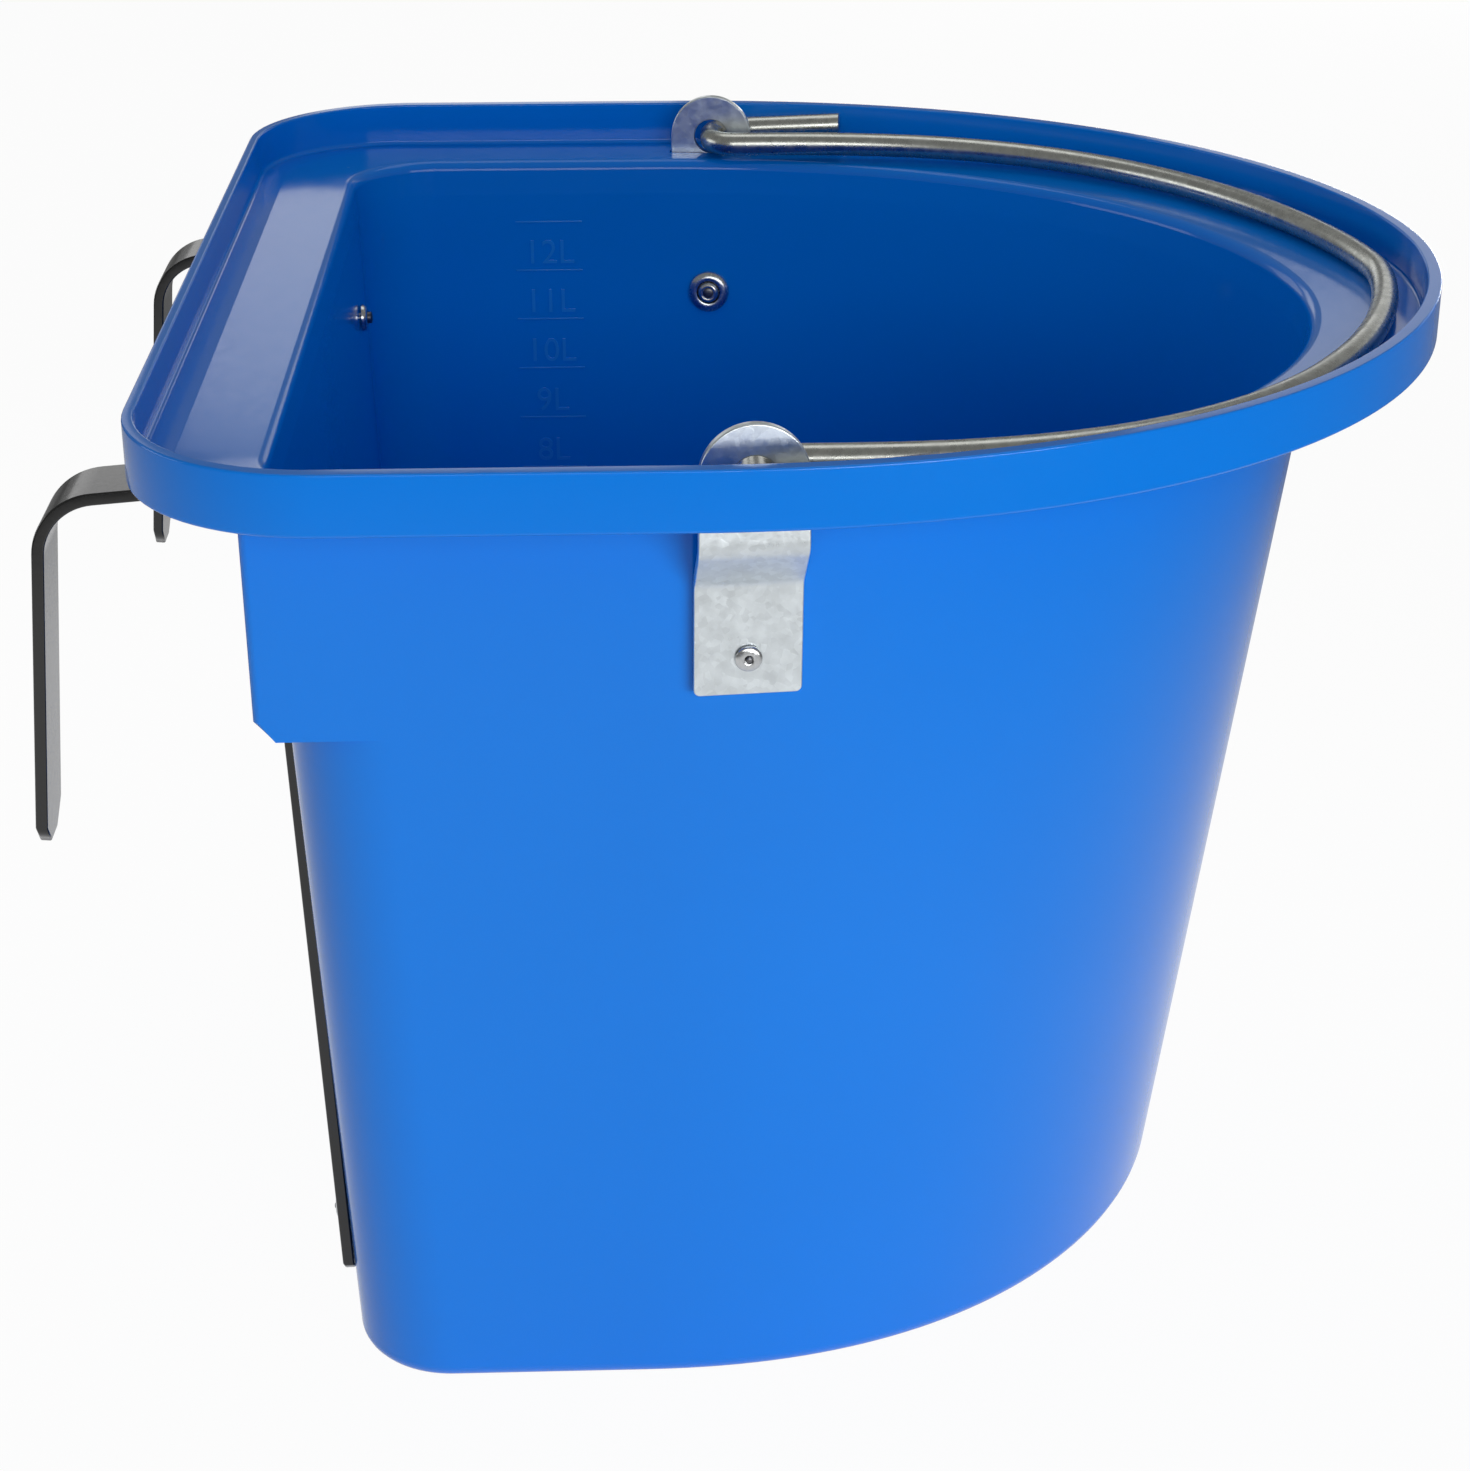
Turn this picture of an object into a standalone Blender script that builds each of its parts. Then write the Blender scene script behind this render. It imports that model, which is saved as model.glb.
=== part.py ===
"""A hanging feed bucket: a moulded D-shaped bucket with a flat back, a wire bail in two
riveted ears, and two flat steel hooks riveted to the back that hang it over a rail.

Metres, +Z up. The origin is the middle of the base's length, on its underside. The nose
of the bucket points to +X and the flat back with its hooks to -X.
"""

import math

import bmesh
import bpy
from mathutils import Matrix, Vector

# Clearances between separate pieces
GAP = 0.0003
SLOT_CLEARANCE = 0.0006
CHANNEL_CUT = 0.0001

# Vertices nearer than this are one, and cutters reach this far
WELD = 0.00001
THROUGH = 0.040

# Bucket walls, outside sizes at the underside of the base
HEIGHT = 0.264
BASE_LENGTH = 0.2254
BASE_WIDTH = 0.2710
BACK_DRAFT = 0.040
SIDE_DRAFT = 0.063
NOSE_DRAFT = 0.130
WALL_CORNER_RADIUS = 0.0253
WALL_STRAIGHT_SHARE = 0.33
WALL = 0.0025
FLOOR = 0.0030
BASE_EDGE_RADIUS = 0.0050
FLOOR_EDGE_RADIUS = 0.0080

# The nose of every outline follows |y| = w * (1 - t ** a) ** (1 / b)
NOSE_LENGTH_POWER = 2.19
NOSE_WIDTH_POWER = 1.91

# Ledge round the mouth, and the lip that stands up at its edge
LEDGE_BACK = 0.0285
LEDGE_SIDE = 0.0242
LEDGE_NOSE = 0.0285
LEDGE_THICKNESS = 0.0023
LEDGE_FALL = 0.0020
LEDGE_ROUNDING = 0.0030
RIM_CORNER_RADIUS = 0.0468
RIM_STRAIGHT_SHARE = 0.38
LIP_HEIGHT = 0.0112
LIP_THICKNESS = 0.0036
LIP_ROUNDING = 0.0009
LIP_FILLET = 0.0015

# Squared shoulder under the back ledge
SHOULDER_DEPTH = 0.0750
SHOULDER_PROUD_BACK = 0.0022
SHOULDER_PROUD_SIDE = 0.0004
SHOULDER_MERGE = 0.0003
SHOULDER_LENGTH = 0.0275
SHOULDER_SKIN = 0.0025
SHOULDER_CHAMFER = 0.0050
SHOULDER_EDGE_RADIUS = 0.0020
SHOULDER_PAD_EDGE = 0.0050

# Ears: bent zinc straps that carry the bail
EAR_FROM_RIM_BACK = 0.1408
EAR_STANDOFF = 0.0085
EAR_WIDTH = 0.0250
EAR_THICKNESS = 0.0025
EAR_LENGTH_BELOW_AXIS = 0.0560
EAR_JOGGLE_START = 0.0170
EAR_JOGGLE_END = 0.0280
EAR_BEND_RADIUS = 0.0040
EAR_CORNER_RADIUS = 0.0015
EAR_RIVET_FROM_END = 0.0095
AXIS_BELOW_RIM = 0.0075

# Bail
WIRE_DIAMETER = 0.0070
BAIL_HOLE_CLEARANCE = 0.0017
BAIL_LEG_FROM_EAR = 0.01175
BAIL_TAIL_FROM_EAR = 0.00825
BAIL_TAIL_LENGTH = 0.0405
BAIL_TAIL_RISE = 0.0025
BAIL_TAIL_TOE_IN = 0.14
BAIL_BEND_RADIUS = 0.0070
BAIL_STRAIGHT = 0.0115
BAIL_TIP_INSIDE_LIP = 0.0085
BAIL_LENGTH_POWER = 2.66
BAIL_WIDTH_POWER = 1.574

# Hooks: flat bar bent to a J that passes out under the ledge
HOOK_FROM_SIDE = 0.0321
HOOK_WIDTH = 0.0200
HOOK_THICKNESS = 0.0030
HOOK_MOUTH = 0.0497
HOOK_ARM_BELOW_RIM = 0.0260
HOOK_ARM_SLOPE = 0.060
HOOK_FREE_LEG_END = 0.1190
HOOK_FREE_LEG_FLARE = 0.081
HOOK_FOOT_HEIGHT = 0.0190
HOOK_OUTER_BEND_RADIUS = 0.0105
HOOK_INNER_BEND_RADIUS = 0.0070
HOOK_TIP_CHAMFER = 0.0060
HOOK_FOOT_CHAMFER = 0.0030
HOOK_RIVET_BELOW_RIM = 0.0490
HOOK_RIVET_ABOVE_FOOT = 0.0150

# Blind rivets and the washers behind the ears
RIVET_TUBE_DIAMETER = 0.0032
RIVET_BORE_DIAMETER = 0.0024
RIVET_HEAD_DIAMETER = 0.0064
RIVET_HEAD_HEIGHT = 0.0011
RIVET_BULB_DIAMETER = 0.0072
RIVET_BULB_LENGTH = 0.0026
MANDREL_DIAMETER = 0.0018
MANDREL_HEAD_DIAMETER = 0.0035
MANDREL_HEAD_LENGTH = 0.0012
MANDREL_HEAD_RECESS = 0.0006
WASHER_DIAMETER = 0.0130
WASHER_THICKNESS = 0.0010

# Facets along the curved stretches
CORNER_STEPS = 6
NOSE_STEPS = 16
ROUNDING_STEPS = 3
TURN_STEPS = 24
RIVET_STEPS = 16
WIRE_STEPS = 26
BEND_STEPS = 5

OBJECT_NAME = "hanging_feed_bucket"
TOOLS_NAME = "cutters_and_guides"


def clear_scene():
    for item in list(bpy.data.objects):
        bpy.data.objects.remove(item, do_unlink=True)
    for group in list(bpy.data.collections):
        bpy.data.collections.remove(group)


def new_collection(name):
    group = bpy.data.collections.new(name)
    bpy.context.scene.collection.children.link(group)
    return group


def material(name, colour, roughness, metallic):
    made = bpy.data.materials.new(name)
    made.use_nodes = True
    shader = made.node_tree.nodes["Principled BSDF"]
    shader.inputs["Base Color"].default_value = (*colour, 1.0)
    shader.inputs["Roughness"].default_value = roughness
    shader.inputs["Metallic"].default_value = metallic
    made.diffuse_color = (*colour, 1.0)
    return made


def new_object(name, data, group, parent=None):
    made = bpy.data.objects.new(name, data)
    group.objects.link(made)
    made.parent = parent
    return made


def as_tool(item):
    item.hide_render = True
    item.display_type = "WIRE"
    return item


def evaluated_mesh(item, name):
    """The item's mesh with its modifiers or curve settings applied, and its caps welded."""
    bpy.context.view_layer.update()
    shape = item.evaluated_get(bpy.context.evaluated_depsgraph_get())
    data = bpy.data.meshes.new_from_object(shape)
    data.name = name
    work = bmesh.new()
    work.from_mesh(data)
    bmesh.ops.remove_doubles(work, verts=work.verts, dist=WELD)
    bmesh.ops.recalc_face_normals(work, faces=work.faces)
    work.to_mesh(data)
    work.free()
    return data


def turned_into_mesh(curve_item):
    """Replaces a curve object by a mesh object of the same name, place and parent."""
    name = curve_item.name
    data = evaluated_mesh(curve_item, name)
    place = curve_item.matrix_world.copy()
    group = curve_item.users_collection[0]
    bpy.data.objects.remove(curve_item, do_unlink=True)
    made = new_object(name, data, group)
    made.matrix_world = place
    return made


def boolean(item, operation, other):
    step = item.modifiers.new(operation.lower() + "_" + other.name, "BOOLEAN")
    step.operation = operation
    step.object = other
    step.solver = "EXACT"


def smooth(data, angle=35):
    data.shade_smooth()
    data.set_sharp_from_angle(angle=math.radians(angle))


def flat_outline(name, points, thickness, group):
    """A flat plate: a filled 2D curve in the local XY plane, as thick as asked along local Z."""
    data = bpy.data.curves.new(name, "CURVE")
    data.dimensions = "2D"
    data.fill_mode = "BOTH"
    data.extrude = thickness / 2
    line = data.splines.new("POLY")
    line.points.add(len(points) - 1)
    for spot, point in zip(line.points, points):
        spot.co = (point[0], point[1], 0.0, 1.0)
    line.use_cyclic_u = True
    return turned_into_mesh(new_object(name, data, group))


def rounded_path(corners, radii):
    """An open path in a plane through the corners, each inner corner rounded to its radius."""
    corners = [Vector(corner) for corner in corners]
    path = [corners[0]]
    for before, corner, after, radius in zip(corners, corners[1:], corners[2:], radii):
        backward = (before - corner).normalized()
        forward = (after - corner).normalized()
        half_angle = backward.angle(forward) / 2
        centre = corner + (backward + forward).normalized() * (radius / math.sin(half_angle))
        start = corner + backward * (radius / math.tan(half_angle)) - centre
        end = corner + forward * (radius / math.tan(half_angle)) - centre
        sweep = start.angle(end)
        for step in range(BEND_STEPS + 1):
            share = step / BEND_STEPS
            from_start = start * (math.sin(sweep * (1 - share)) / math.sin(sweep))
            from_end = end * (math.sin(sweep * share) / math.sin(sweep))
            path.append(centre + from_start + from_end)
    path.append(corners[-1])
    return path


def strip_outline(path, thickness):
    """The closed outline of a strip of even thickness along a flat path."""
    left = []
    right = []
    for index, point in enumerate(path):
        before = path[max(index - 1, 0)]
        after = path[min(index + 1, len(path) - 1)]
        arriving = (point - before).normalized() if index else (after - point).normalized()
        leaving = (after - point).normalized() if after is not point else arriving
        along = (arriving + leaving).normalized()
        side = Vector((-along.y, along.x)) * (thickness / 2 / along.dot(arriving))
        left.append(point + side)
        right.append(point - side)
    return left + right[::-1]


def box(name, low, high, group):
    """A box between two corners, with its origin at its middle."""
    work = bmesh.new()
    bmesh.ops.create_cube(work, size=1.0)
    size = Vector(high) - Vector(low)
    bmesh.ops.scale(work, vec=size, verts=work.verts)
    data = bpy.data.meshes.new(name)
    work.to_mesh(data)
    work.free()
    made = new_object(name, data, group)
    made.location = (Vector(high) + Vector(low)) / 2
    return made


def rod(name, radius, length, group, steps=TURN_STEPS):
    """A cylinder along local Z, centred on its origin."""
    work = bmesh.new()
    bmesh.ops.create_cone(
        work, cap_ends=True, segments=steps, radius1=radius, radius2=radius, depth=length
    )
    data = bpy.data.meshes.new(name)
    work.to_mesh(data)
    work.free()
    return new_object(name, data, group)


def turned_mesh(name, profile, closed, group):
    """A turned shape about local Z from (radius, height) points that run down its outer side."""
    data = bpy.data.meshes.new(name + "_profile")
    edges = [(index, index + 1) for index in range(len(profile) - 1)]
    if closed:
        edges.append((len(profile) - 1, 0))
    data.from_pydata([(radius, 0.0, height) for radius, height in profile], edges, [])
    guide = new_object(name + "_profile", data, group)
    screw = guide.modifiers.new("turn", "SCREW")
    screw.steps = RIVET_STEPS
    screw.render_steps = RIVET_STEPS
    screw.use_merge_vertices = True
    screw.merge_threshold = WELD
    shape = evaluated_mesh(guide, name)
    bpy.data.objects.remove(guide, do_unlink=True)
    smooth(shape)
    return shape


def quarter_turn(steps):
    """The sine and the shortfall of the cosine at even steps of a quarter turn."""
    for step in range(steps + 1):
        angle = math.pi / 2 * step / steps
        yield math.sin(angle), 1 - math.cos(angle)


HOOK_SPACING = BASE_WIDTH - 2 * HOOK_FROM_SIDE
HOOK_RIVET_HEIGHTS = (HEIGHT - HOOK_RIVET_BELOW_RIM, HOOK_FOOT_HEIGHT + HOOK_RIVET_ABOVE_FOOT)


def nose_half_width(x, start, tip, half_width, length_power, width_power):
    """How far from the middle plane a nose that narrows from start to tip stands at x."""
    share = min(max((x - start) / (tip - start), 0.0), 1.0)
    return half_width * (1 - share**length_power) ** (1 / width_power)


def nose_arc(start, tip, half_width, length_power, width_power, steps):
    """Points of a nose from its start at full width to its tip on the middle plane."""
    arc = []
    for step in range(1, steps + 1):
        angle = math.pi / 2 * step / steps
        along = math.sin(angle) ** (2 / length_power)
        across = max(math.cos(angle), 0.0) ** (2 / width_power)
        arc.append((start + (tip - start) * along, half_width * across))
    return arc


def d_outline(back, front, half_width, corner, straight_share, inset):
    """A closed outline with a flat back, round back corners, straight sides and a round nose."""
    back += inset
    front -= inset
    half_width -= inset
    corner -= inset
    straight_end = back + (front - back) * straight_share
    half = [(back, 0.0), (back, (half_width - corner) / 2)]
    for along, fall in quarter_turn(CORNER_STEPS):
        half.append((back + corner * fall, half_width - corner * (1 - along)))
    half.append((straight_end, half_width))
    half += nose_arc(
        straight_end, front, half_width, NOSE_LENGTH_POWER, NOSE_WIDTH_POWER, NOSE_STEPS
    )
    half[-1] = (front, 0.0)
    return half + [(x, -y) for x, y in half[-2:0:-1]]


def wall_back(z):
    return -BASE_LENGTH / 2 - BACK_DRAFT * z


def wall_front(z):
    return BASE_LENGTH / 2 + NOSE_DRAFT * z


def wall_side(z):
    return BASE_WIDTH / 2 + SIDE_DRAFT * z


def wall_half_width(x, z):
    """Half the outside width of the wall at a place on its side or nose."""
    back = wall_back(z)
    start = back + (wall_front(z) - back) * WALL_STRAIGHT_SHARE
    return nose_half_width(
        x, start, wall_front(z), wall_side(z), NOSE_LENGTH_POWER, NOSE_WIDTH_POWER
    )


def wall_ring(z, inset):
    outline = d_outline(
        wall_back(z), wall_front(z), wall_side(z), WALL_CORNER_RADIUS, WALL_STRAIGHT_SHARE, inset
    )
    return [(x, y, z) for x, y in outline]


RIM_BACK = wall_back(HEIGHT) - LEDGE_BACK
RIM_FRONT = wall_front(HEIGHT) + LEDGE_NOSE
RIM_SIDE = wall_side(HEIGHT) + LEDGE_SIDE


def rim_ring(z, inset):
    outline = d_outline(
        RIM_BACK, RIM_FRONT, RIM_SIDE, RIM_CORNER_RADIUS, RIM_STRAIGHT_SHARE, inset
    )
    return [(x, y, z) for x, y in outline]


def loft(name, rings, group):
    """A closed solid through rings of equally many points, capped at its first and last ring."""
    work = bmesh.new()
    loops = [[work.verts.new(point) for point in ring] for ring in rings]
    for lower, upper in zip(loops, loops[1:]):
        for index in range(len(lower)):
            after = (index + 1) % len(lower)
            work.faces.new((lower[index], lower[after], upper[after], upper[index]))
    work.faces.new(loops[0])
    work.faces.new(loops[-1])
    bmesh.ops.recalc_face_normals(work, faces=work.faces)
    data = bpy.data.meshes.new(name)
    work.to_mesh(data)
    work.free()
    return new_object(name, data, group)


def bucket_rings():
    """The bucket's skin from the middle of its underside, over the lip, to the floor inside."""
    rings = []
    for along, rise in quarter_turn(ROUNDING_STEPS):
        rings.append(wall_ring(BASE_EDGE_RADIUS * rise, BASE_EDGE_RADIUS * (1 - along)))
    ledge_top = HEIGHT - LIP_HEIGHT
    ledge_edge = ledge_top - LEDGE_FALL
    skirt_bottom = ledge_top - LEDGE_THICKNESS
    rings.append(wall_ring(ledge_edge - LEDGE_THICKNESS, 0.0))
    rings.append(rim_ring(skirt_bottom, LIP_ROUNDING))
    rings.append(rim_ring(skirt_bottom + LIP_ROUNDING, 0.0))
    rings.append(rim_ring(HEIGHT - LIP_ROUNDING, 0.0))
    rings.append(rim_ring(HEIGHT, LIP_ROUNDING))
    rings.append(rim_ring(HEIGHT, LIP_THICKNESS - LIP_ROUNDING))
    rings.append(rim_ring(HEIGHT - LIP_ROUNDING, LIP_THICKNESS))
    rings.append(rim_ring(ledge_top + LIP_FILLET, LIP_THICKNESS))
    rings.append(rim_ring(ledge_top, LIP_THICKNESS + LIP_FILLET))
    for along, fall in quarter_turn(ROUNDING_STEPS):
        rings.append(
            wall_ring(ledge_edge - LEDGE_ROUNDING * fall, WALL - LEDGE_ROUNDING * (1 - along))
        )
    for along, fall in quarter_turn(ROUNDING_STEPS):
        rings.append(
            wall_ring(FLOOR + FLOOR_EDGE_RADIUS * (1 - along), WALL + FLOOR_EDGE_RADIUS * fall)
        )
    return rings


def shoulder(tools):
    """The squared corners and the pad under the back ledge, hollow from below at the corners."""
    back = wall_back(HEIGHT) - SHOULDER_PROUD_BACK
    front = back + SHOULDER_LENGTH
    bottom = HEIGHT - SHOULDER_DEPTH
    top = HEIGHT - LIP_HEIGHT - LEDGE_FALL - LEDGE_THICKNESS / 2
    side = wall_side(top) + SHOULDER_PROUD_SIDE
    lean = SIDE_DRAFT * (top - bottom)
    block = box("shoulder", (back, -side, bottom), (front, side, top), tools)
    work = bmesh.new()
    work.from_mesh(block.data)
    for corner in work.verts:
        way = math.copysign(1.0, corner.co.y)
        if corner.co.z < 0:
            corner.co.y -= way * lean
        if corner.co.x > 0:
            corner.co.y -= way * (SHOULDER_PROUD_SIDE + SHOULDER_MERGE)
    rear = [edge for edge in work.edges if all(end.co.x < 0 for end in edge.verts)]
    lower = [edge for edge in rear if all(end.co.z < 0 for end in edge.verts)]
    bmesh.ops.bevel(work, geom=lower, offset=SHOULDER_CHAMFER, segments=1, affect="EDGES")
    corners = [
        edge
        for edge in work.edges
        if all(end.co.x < 0 for end in edge.verts) and edge.verts[0].co.y * edge.verts[1].co.y > 0
    ]
    bmesh.ops.bevel(
        work, geom=corners, offset=SHOULDER_EDGE_RADIUS, segments=3, affect="EDGES", profile=0.5
    )
    work.to_mesh(block.data)
    work.free()
    core = loft("shoulder_core", [wall_ring(z, WALL / 2) for z in (0.0, HEIGHT)], tools)
    boolean(block, "DIFFERENCE", as_tool(core))
    inner_side = side - SHOULDER_SKIN - lean
    pad_edge = HOOK_SPACING / 2 + HOOK_WIDTH / 2 + SLOT_CLEARANCE + SHOULDER_PAD_EDGE
    for side_name, way in (("left", 1), ("right", -1)):
        near, far = sorted((way * pad_edge, way * inner_side))
        pocket = box(
            "shoulder_pocket_" + side_name,
            (back + SHOULDER_SKIN, near, 0.0),
            (front + SHOULDER_SKIN, far, HEIGHT),
            tools,
        )
        boolean(block, "DIFFERENCE", as_tool(pocket))
    data = evaluated_mesh(block, "shoulder")
    place = block.matrix_world.copy()
    bpy.data.objects.remove(block, do_unlink=True)
    made = new_object("shoulder", data, tools)
    made.matrix_world = place
    return as_tool(made)


AXIS_X = RIM_BACK + EAR_FROM_RIM_BACK
AXIS_Z = HEIGHT - AXIS_BELOW_RIM
EAR_Y = wall_half_width(AXIS_X, HEIGHT) + EAR_STANDOFF


def ear_turn():
    """How far the wall under an ear has turned towards the nose, as an angle about +Z."""
    z = AXIS_Z - EAR_LENGTH_BELOW_AXIS
    ahead = wall_half_width(AXIS_X + EAR_WIDTH / 2, z)
    behind = wall_half_width(AXIS_X - EAR_WIDTH / 2, z)
    return math.atan2(behind - ahead, EAR_WIDTH)


def ear_wall(z):
    """The outside of the wall in an ear's own frame, outwards from its bail hole."""
    return (wall_half_width(AXIS_X, z) - EAR_Y) * math.cos(ear_turn())


def ear_matrix(way):
    """The place of an ear: its own y points out of the bucket, on the side that way names."""
    turn = -ear_turn() if way > 0 else math.pi + ear_turn()
    return Matrix.Translation((AXIS_X, way * EAR_Y, AXIS_Z)) @ Matrix.Rotation(turn, 4, "Z")


def arc(centre, radius, start, end, steps):
    """Points on an arc in a plane, its angles in quarter turns."""
    points = []
    for step in range(steps + 1):
        angle = math.pi / 2 * (start + (end - start) * step / steps)
        points.append(
            (centre[0] + radius * math.cos(angle), centre[1] + radius * math.sin(angle))
        )
    return points


def baked(item, name):
    """The item's finished mesh in world places. The item itself is removed."""
    data = evaluated_mesh(item, name)
    data.transform(item.matrix_world)
    bpy.data.objects.remove(item, do_unlink=True)
    smooth(data)
    return data


EAR_RIVET_Z = AXIS_Z - EAR_LENGTH_BELOW_AXIS + EAR_RIVET_FROM_END
RIVET_HOLE_RADIUS = RIVET_TUBE_DIAMETER / 2 + GAP


def ear_rivet_matrix():
    """The place of a rivet in an ear's own frame: z along the wall's outward normal."""
    lean = math.atan(SIDE_DRAFT)
    place = Matrix.Translation((0.0, ear_wall(EAR_RIVET_Z), EAR_RIVET_Z - AXIS_Z))
    return place @ Matrix.Rotation(-math.pi / 2 - lean, 4, "X")


def ear_mesh(tools):
    """One ear about its bail hole: x along the wall, y outwards, z up."""
    joggle_start = AXIS_Z - EAR_JOGGLE_START
    joggle_end = AXIS_Z - EAR_JOGGLE_END
    end = AXIS_Z - EAR_LENGTH_BELOW_AXIS
    seat = GAP + EAR_THICKNESS / 2
    corners = [
        (0.0, EAR_WIDTH),
        (0.0, joggle_start - AXIS_Z),
        (ear_wall(joggle_end) + seat, joggle_end - AXIS_Z),
        (ear_wall(end - EAR_WIDTH) + seat, end - AXIS_Z - EAR_WIDTH),
    ]
    path = rounded_path(corners, (EAR_BEND_RADIUS, EAR_BEND_RADIUS))
    strip = flat_outline("ear_strip", strip_outline(path, EAR_THICKNESS), EAR_WIDTH, tools)
    strip.rotation_euler = (math.pi / 2, 0.0, math.pi / 2)
    half = EAR_WIDTH / 2
    inset = half - EAR_CORNER_RADIUS
    foot = EAR_CORNER_RADIUS - EAR_LENGTH_BELOW_AXIS
    face = arc((0.0, 0.0), half, 0, 2, TURN_STEPS // 2)
    face += arc((-inset, foot), EAR_CORNER_RADIUS, 2, 3, BEND_STEPS)
    face += arc((inset, foot), EAR_CORNER_RADIUS, 3, 4, BEND_STEPS)
    front = flat_outline("ear_front", face, EAR_WIDTH * 2, tools)
    front.rotation_euler.x = math.pi / 2
    hole = rod("ear_bail_hole", WIRE_DIAMETER / 2 + BAIL_HOLE_CLEARANCE, EAR_WIDTH, tools)
    hole.rotation_euler.x = math.pi / 2
    rivet_hole = rod("ear_rivet_hole", RIVET_HOLE_RADIUS, THROUGH, tools)
    rivet_hole.matrix_world = ear_rivet_matrix()
    boolean(strip, "INTERSECT", as_tool(front))
    boolean(strip, "DIFFERENCE", as_tool(hole))
    boolean(strip, "DIFFERENCE", as_tool(rivet_hole))
    return baked(strip, "ear_bracket")


def hook_leg_x(z):
    """The middle of a hook's wall leg, which lies on the back of the bucket."""
    return wall_back(z) - (GAP + HOOK_THICKNESS / 2) / math.cos(math.atan(BACK_DRAFT))


def hook_path():
    """The middle line of a hook's bar in x and z, from its foot on the wall to its free tip."""
    outer_z = HEIGHT - HOOK_ARM_BELOW_RIM - HOOK_THICKNESS / 2
    outer_x = hook_leg_x(outer_z) - HOOK_MOUTH - HOOK_THICKNESS
    inner_z = outer_z + HOOK_ARM_SLOPE * (hook_leg_x(outer_z) - outer_x)
    tip_z = HEIGHT - HOOK_FREE_LEG_END
    tip_x = outer_x - HOOK_FREE_LEG_FLARE * (outer_z - tip_z)
    corners = [
        (hook_leg_x(HOOK_FOOT_HEIGHT), HOOK_FOOT_HEIGHT),
        (hook_leg_x(inner_z), inner_z),
        (outer_x, outer_z),
        (tip_x, tip_z),
    ]
    return rounded_path(corners, (HOOK_INNER_BEND_RADIUS, HOOK_OUTER_BEND_RADIUS))


def cut_corners(data, end_point, size):
    """Cuts the two corners off the end of a bar whose middle line ends at the given x and z."""
    work = bmesh.new()
    work.from_mesh(data)
    corners = []
    for edge in work.edges:
        first, second = (end.co for end in edge.verts)
        through_bar = abs(first.y - second.y) < GAP
        middle = (first + second) / 2
        at_end = math.hypot(middle.x - end_point.x, middle.z - end_point.y) < GAP
        if through_bar and at_end:
            corners.append(edge)
    bmesh.ops.bevel(work, geom=corners, offset=size, segments=1, affect="EDGES")
    work.to_mesh(data)
    work.free()


def back_rivet_matrix(z):
    """The place of a rivet on the middle of the back wall: its z points along the outward normal."""
    lean = math.atan(BACK_DRAFT)
    return Matrix.Translation((wall_back(z), 0.0, z)) @ Matrix.Rotation(
        -math.pi / 2 - lean, 4, "Y"
    )


def hook_mesh(tools):
    """One hook on the middle plane, with its two rivet holes."""
    path = hook_path()
    bar = flat_outline("hook_bar", strip_outline(path, HOOK_THICKNESS), HOOK_WIDTH, tools)
    bar.rotation_euler.x = math.pi / 2
    for index, height in enumerate(HOOK_RIVET_HEIGHTS):
        hole = rod(f"hook_hole_{index}", RIVET_HOLE_RADIUS, THROUGH, tools)
        hole.matrix_world = back_rivet_matrix(height)
        boolean(bar, "DIFFERENCE", as_tool(hole))
    data = baked(bar, "hook")
    cut_corners(data, path[-1], HOOK_TIP_CHAMFER)
    cut_corners(data, path[0], HOOK_FOOT_CHAMFER)
    return data


def ledge_height(x):
    """The top of the ledge on the middle plane in front of the mouth."""
    lip_foot = RIM_FRONT - LIP_THICKNESS - LIP_FILLET
    edge = wall_front(HEIGHT) - WALL + LEDGE_ROUNDING
    return HEIGHT - LIP_HEIGHT - LEDGE_FALL * (lip_foot - x) / (lip_foot - edge)


def bail_points():
    """The bail's middle line about the centre of its hinge axis, from tail end to tail end."""
    tail_y = EAR_Y + BAIL_TAIL_FROM_EAR
    leg_y = EAR_Y - BAIL_LEG_FROM_EAR
    tip_x = RIM_FRONT - LIP_THICKNESS - BAIL_TIP_INSIDE_LIP
    reach = tip_x - AXIS_X
    slope = LEDGE_FALL / (LEDGE_NOSE - LIP_THICKNESS - LIP_FILLET + WALL - LEDGE_ROUNDING)
    rest_z = ledge_height(tip_x) + (WIRE_DIAMETER / 2 + GAP) * math.hypot(1.0, slope)
    fall = (rest_z - AXIS_Z) / reach
    tail_end_y = tail_y - BAIL_TAIL_TOE_IN * BAIL_TAIL_LENGTH
    corners = [(BAIL_TAIL_LENGTH, tail_end_y), (0.0, tail_y), (0.0, leg_y), (BAIL_STRAIGHT, leg_y)]
    flat = rounded_path(corners, (BAIL_BEND_RADIUS, BAIL_BEND_RADIUS))
    middle_y = (tail_y + leg_y) / 2
    half = []
    for point in flat:
        rate = BAIL_TAIL_RISE / BAIL_TAIL_LENGTH if point.y > middle_y else fall
        half.append((point.x, point.y, rate * point.x))
    nose = nose_arc(
        BAIL_STRAIGHT, reach, leg_y, BAIL_LENGTH_POWER, BAIL_WIDTH_POWER, WIRE_STEPS
    )
    half += [(x, y, fall * x) for x, y in nose]
    half[-1] = (reach, 0.0, fall * reach)
    return half + [(x, -y, z) for x, y, z in half[-2::-1]]


def bail(group, axis):
    data = bpy.data.curves.new("bail", "CURVE")
    data.dimensions = "3D"
    data.bevel_depth = WIRE_DIAMETER / 2
    data.bevel_resolution = 3
    data.use_fill_caps = True
    points = bail_points()
    line = data.splines.new("POLY")
    line.points.add(len(points) - 1)
    for spot, point in zip(line.points, points):
        spot.co = (*point, 1.0)
    line.use_smooth = True
    return new_object("bail", data, group, axis)


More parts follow.
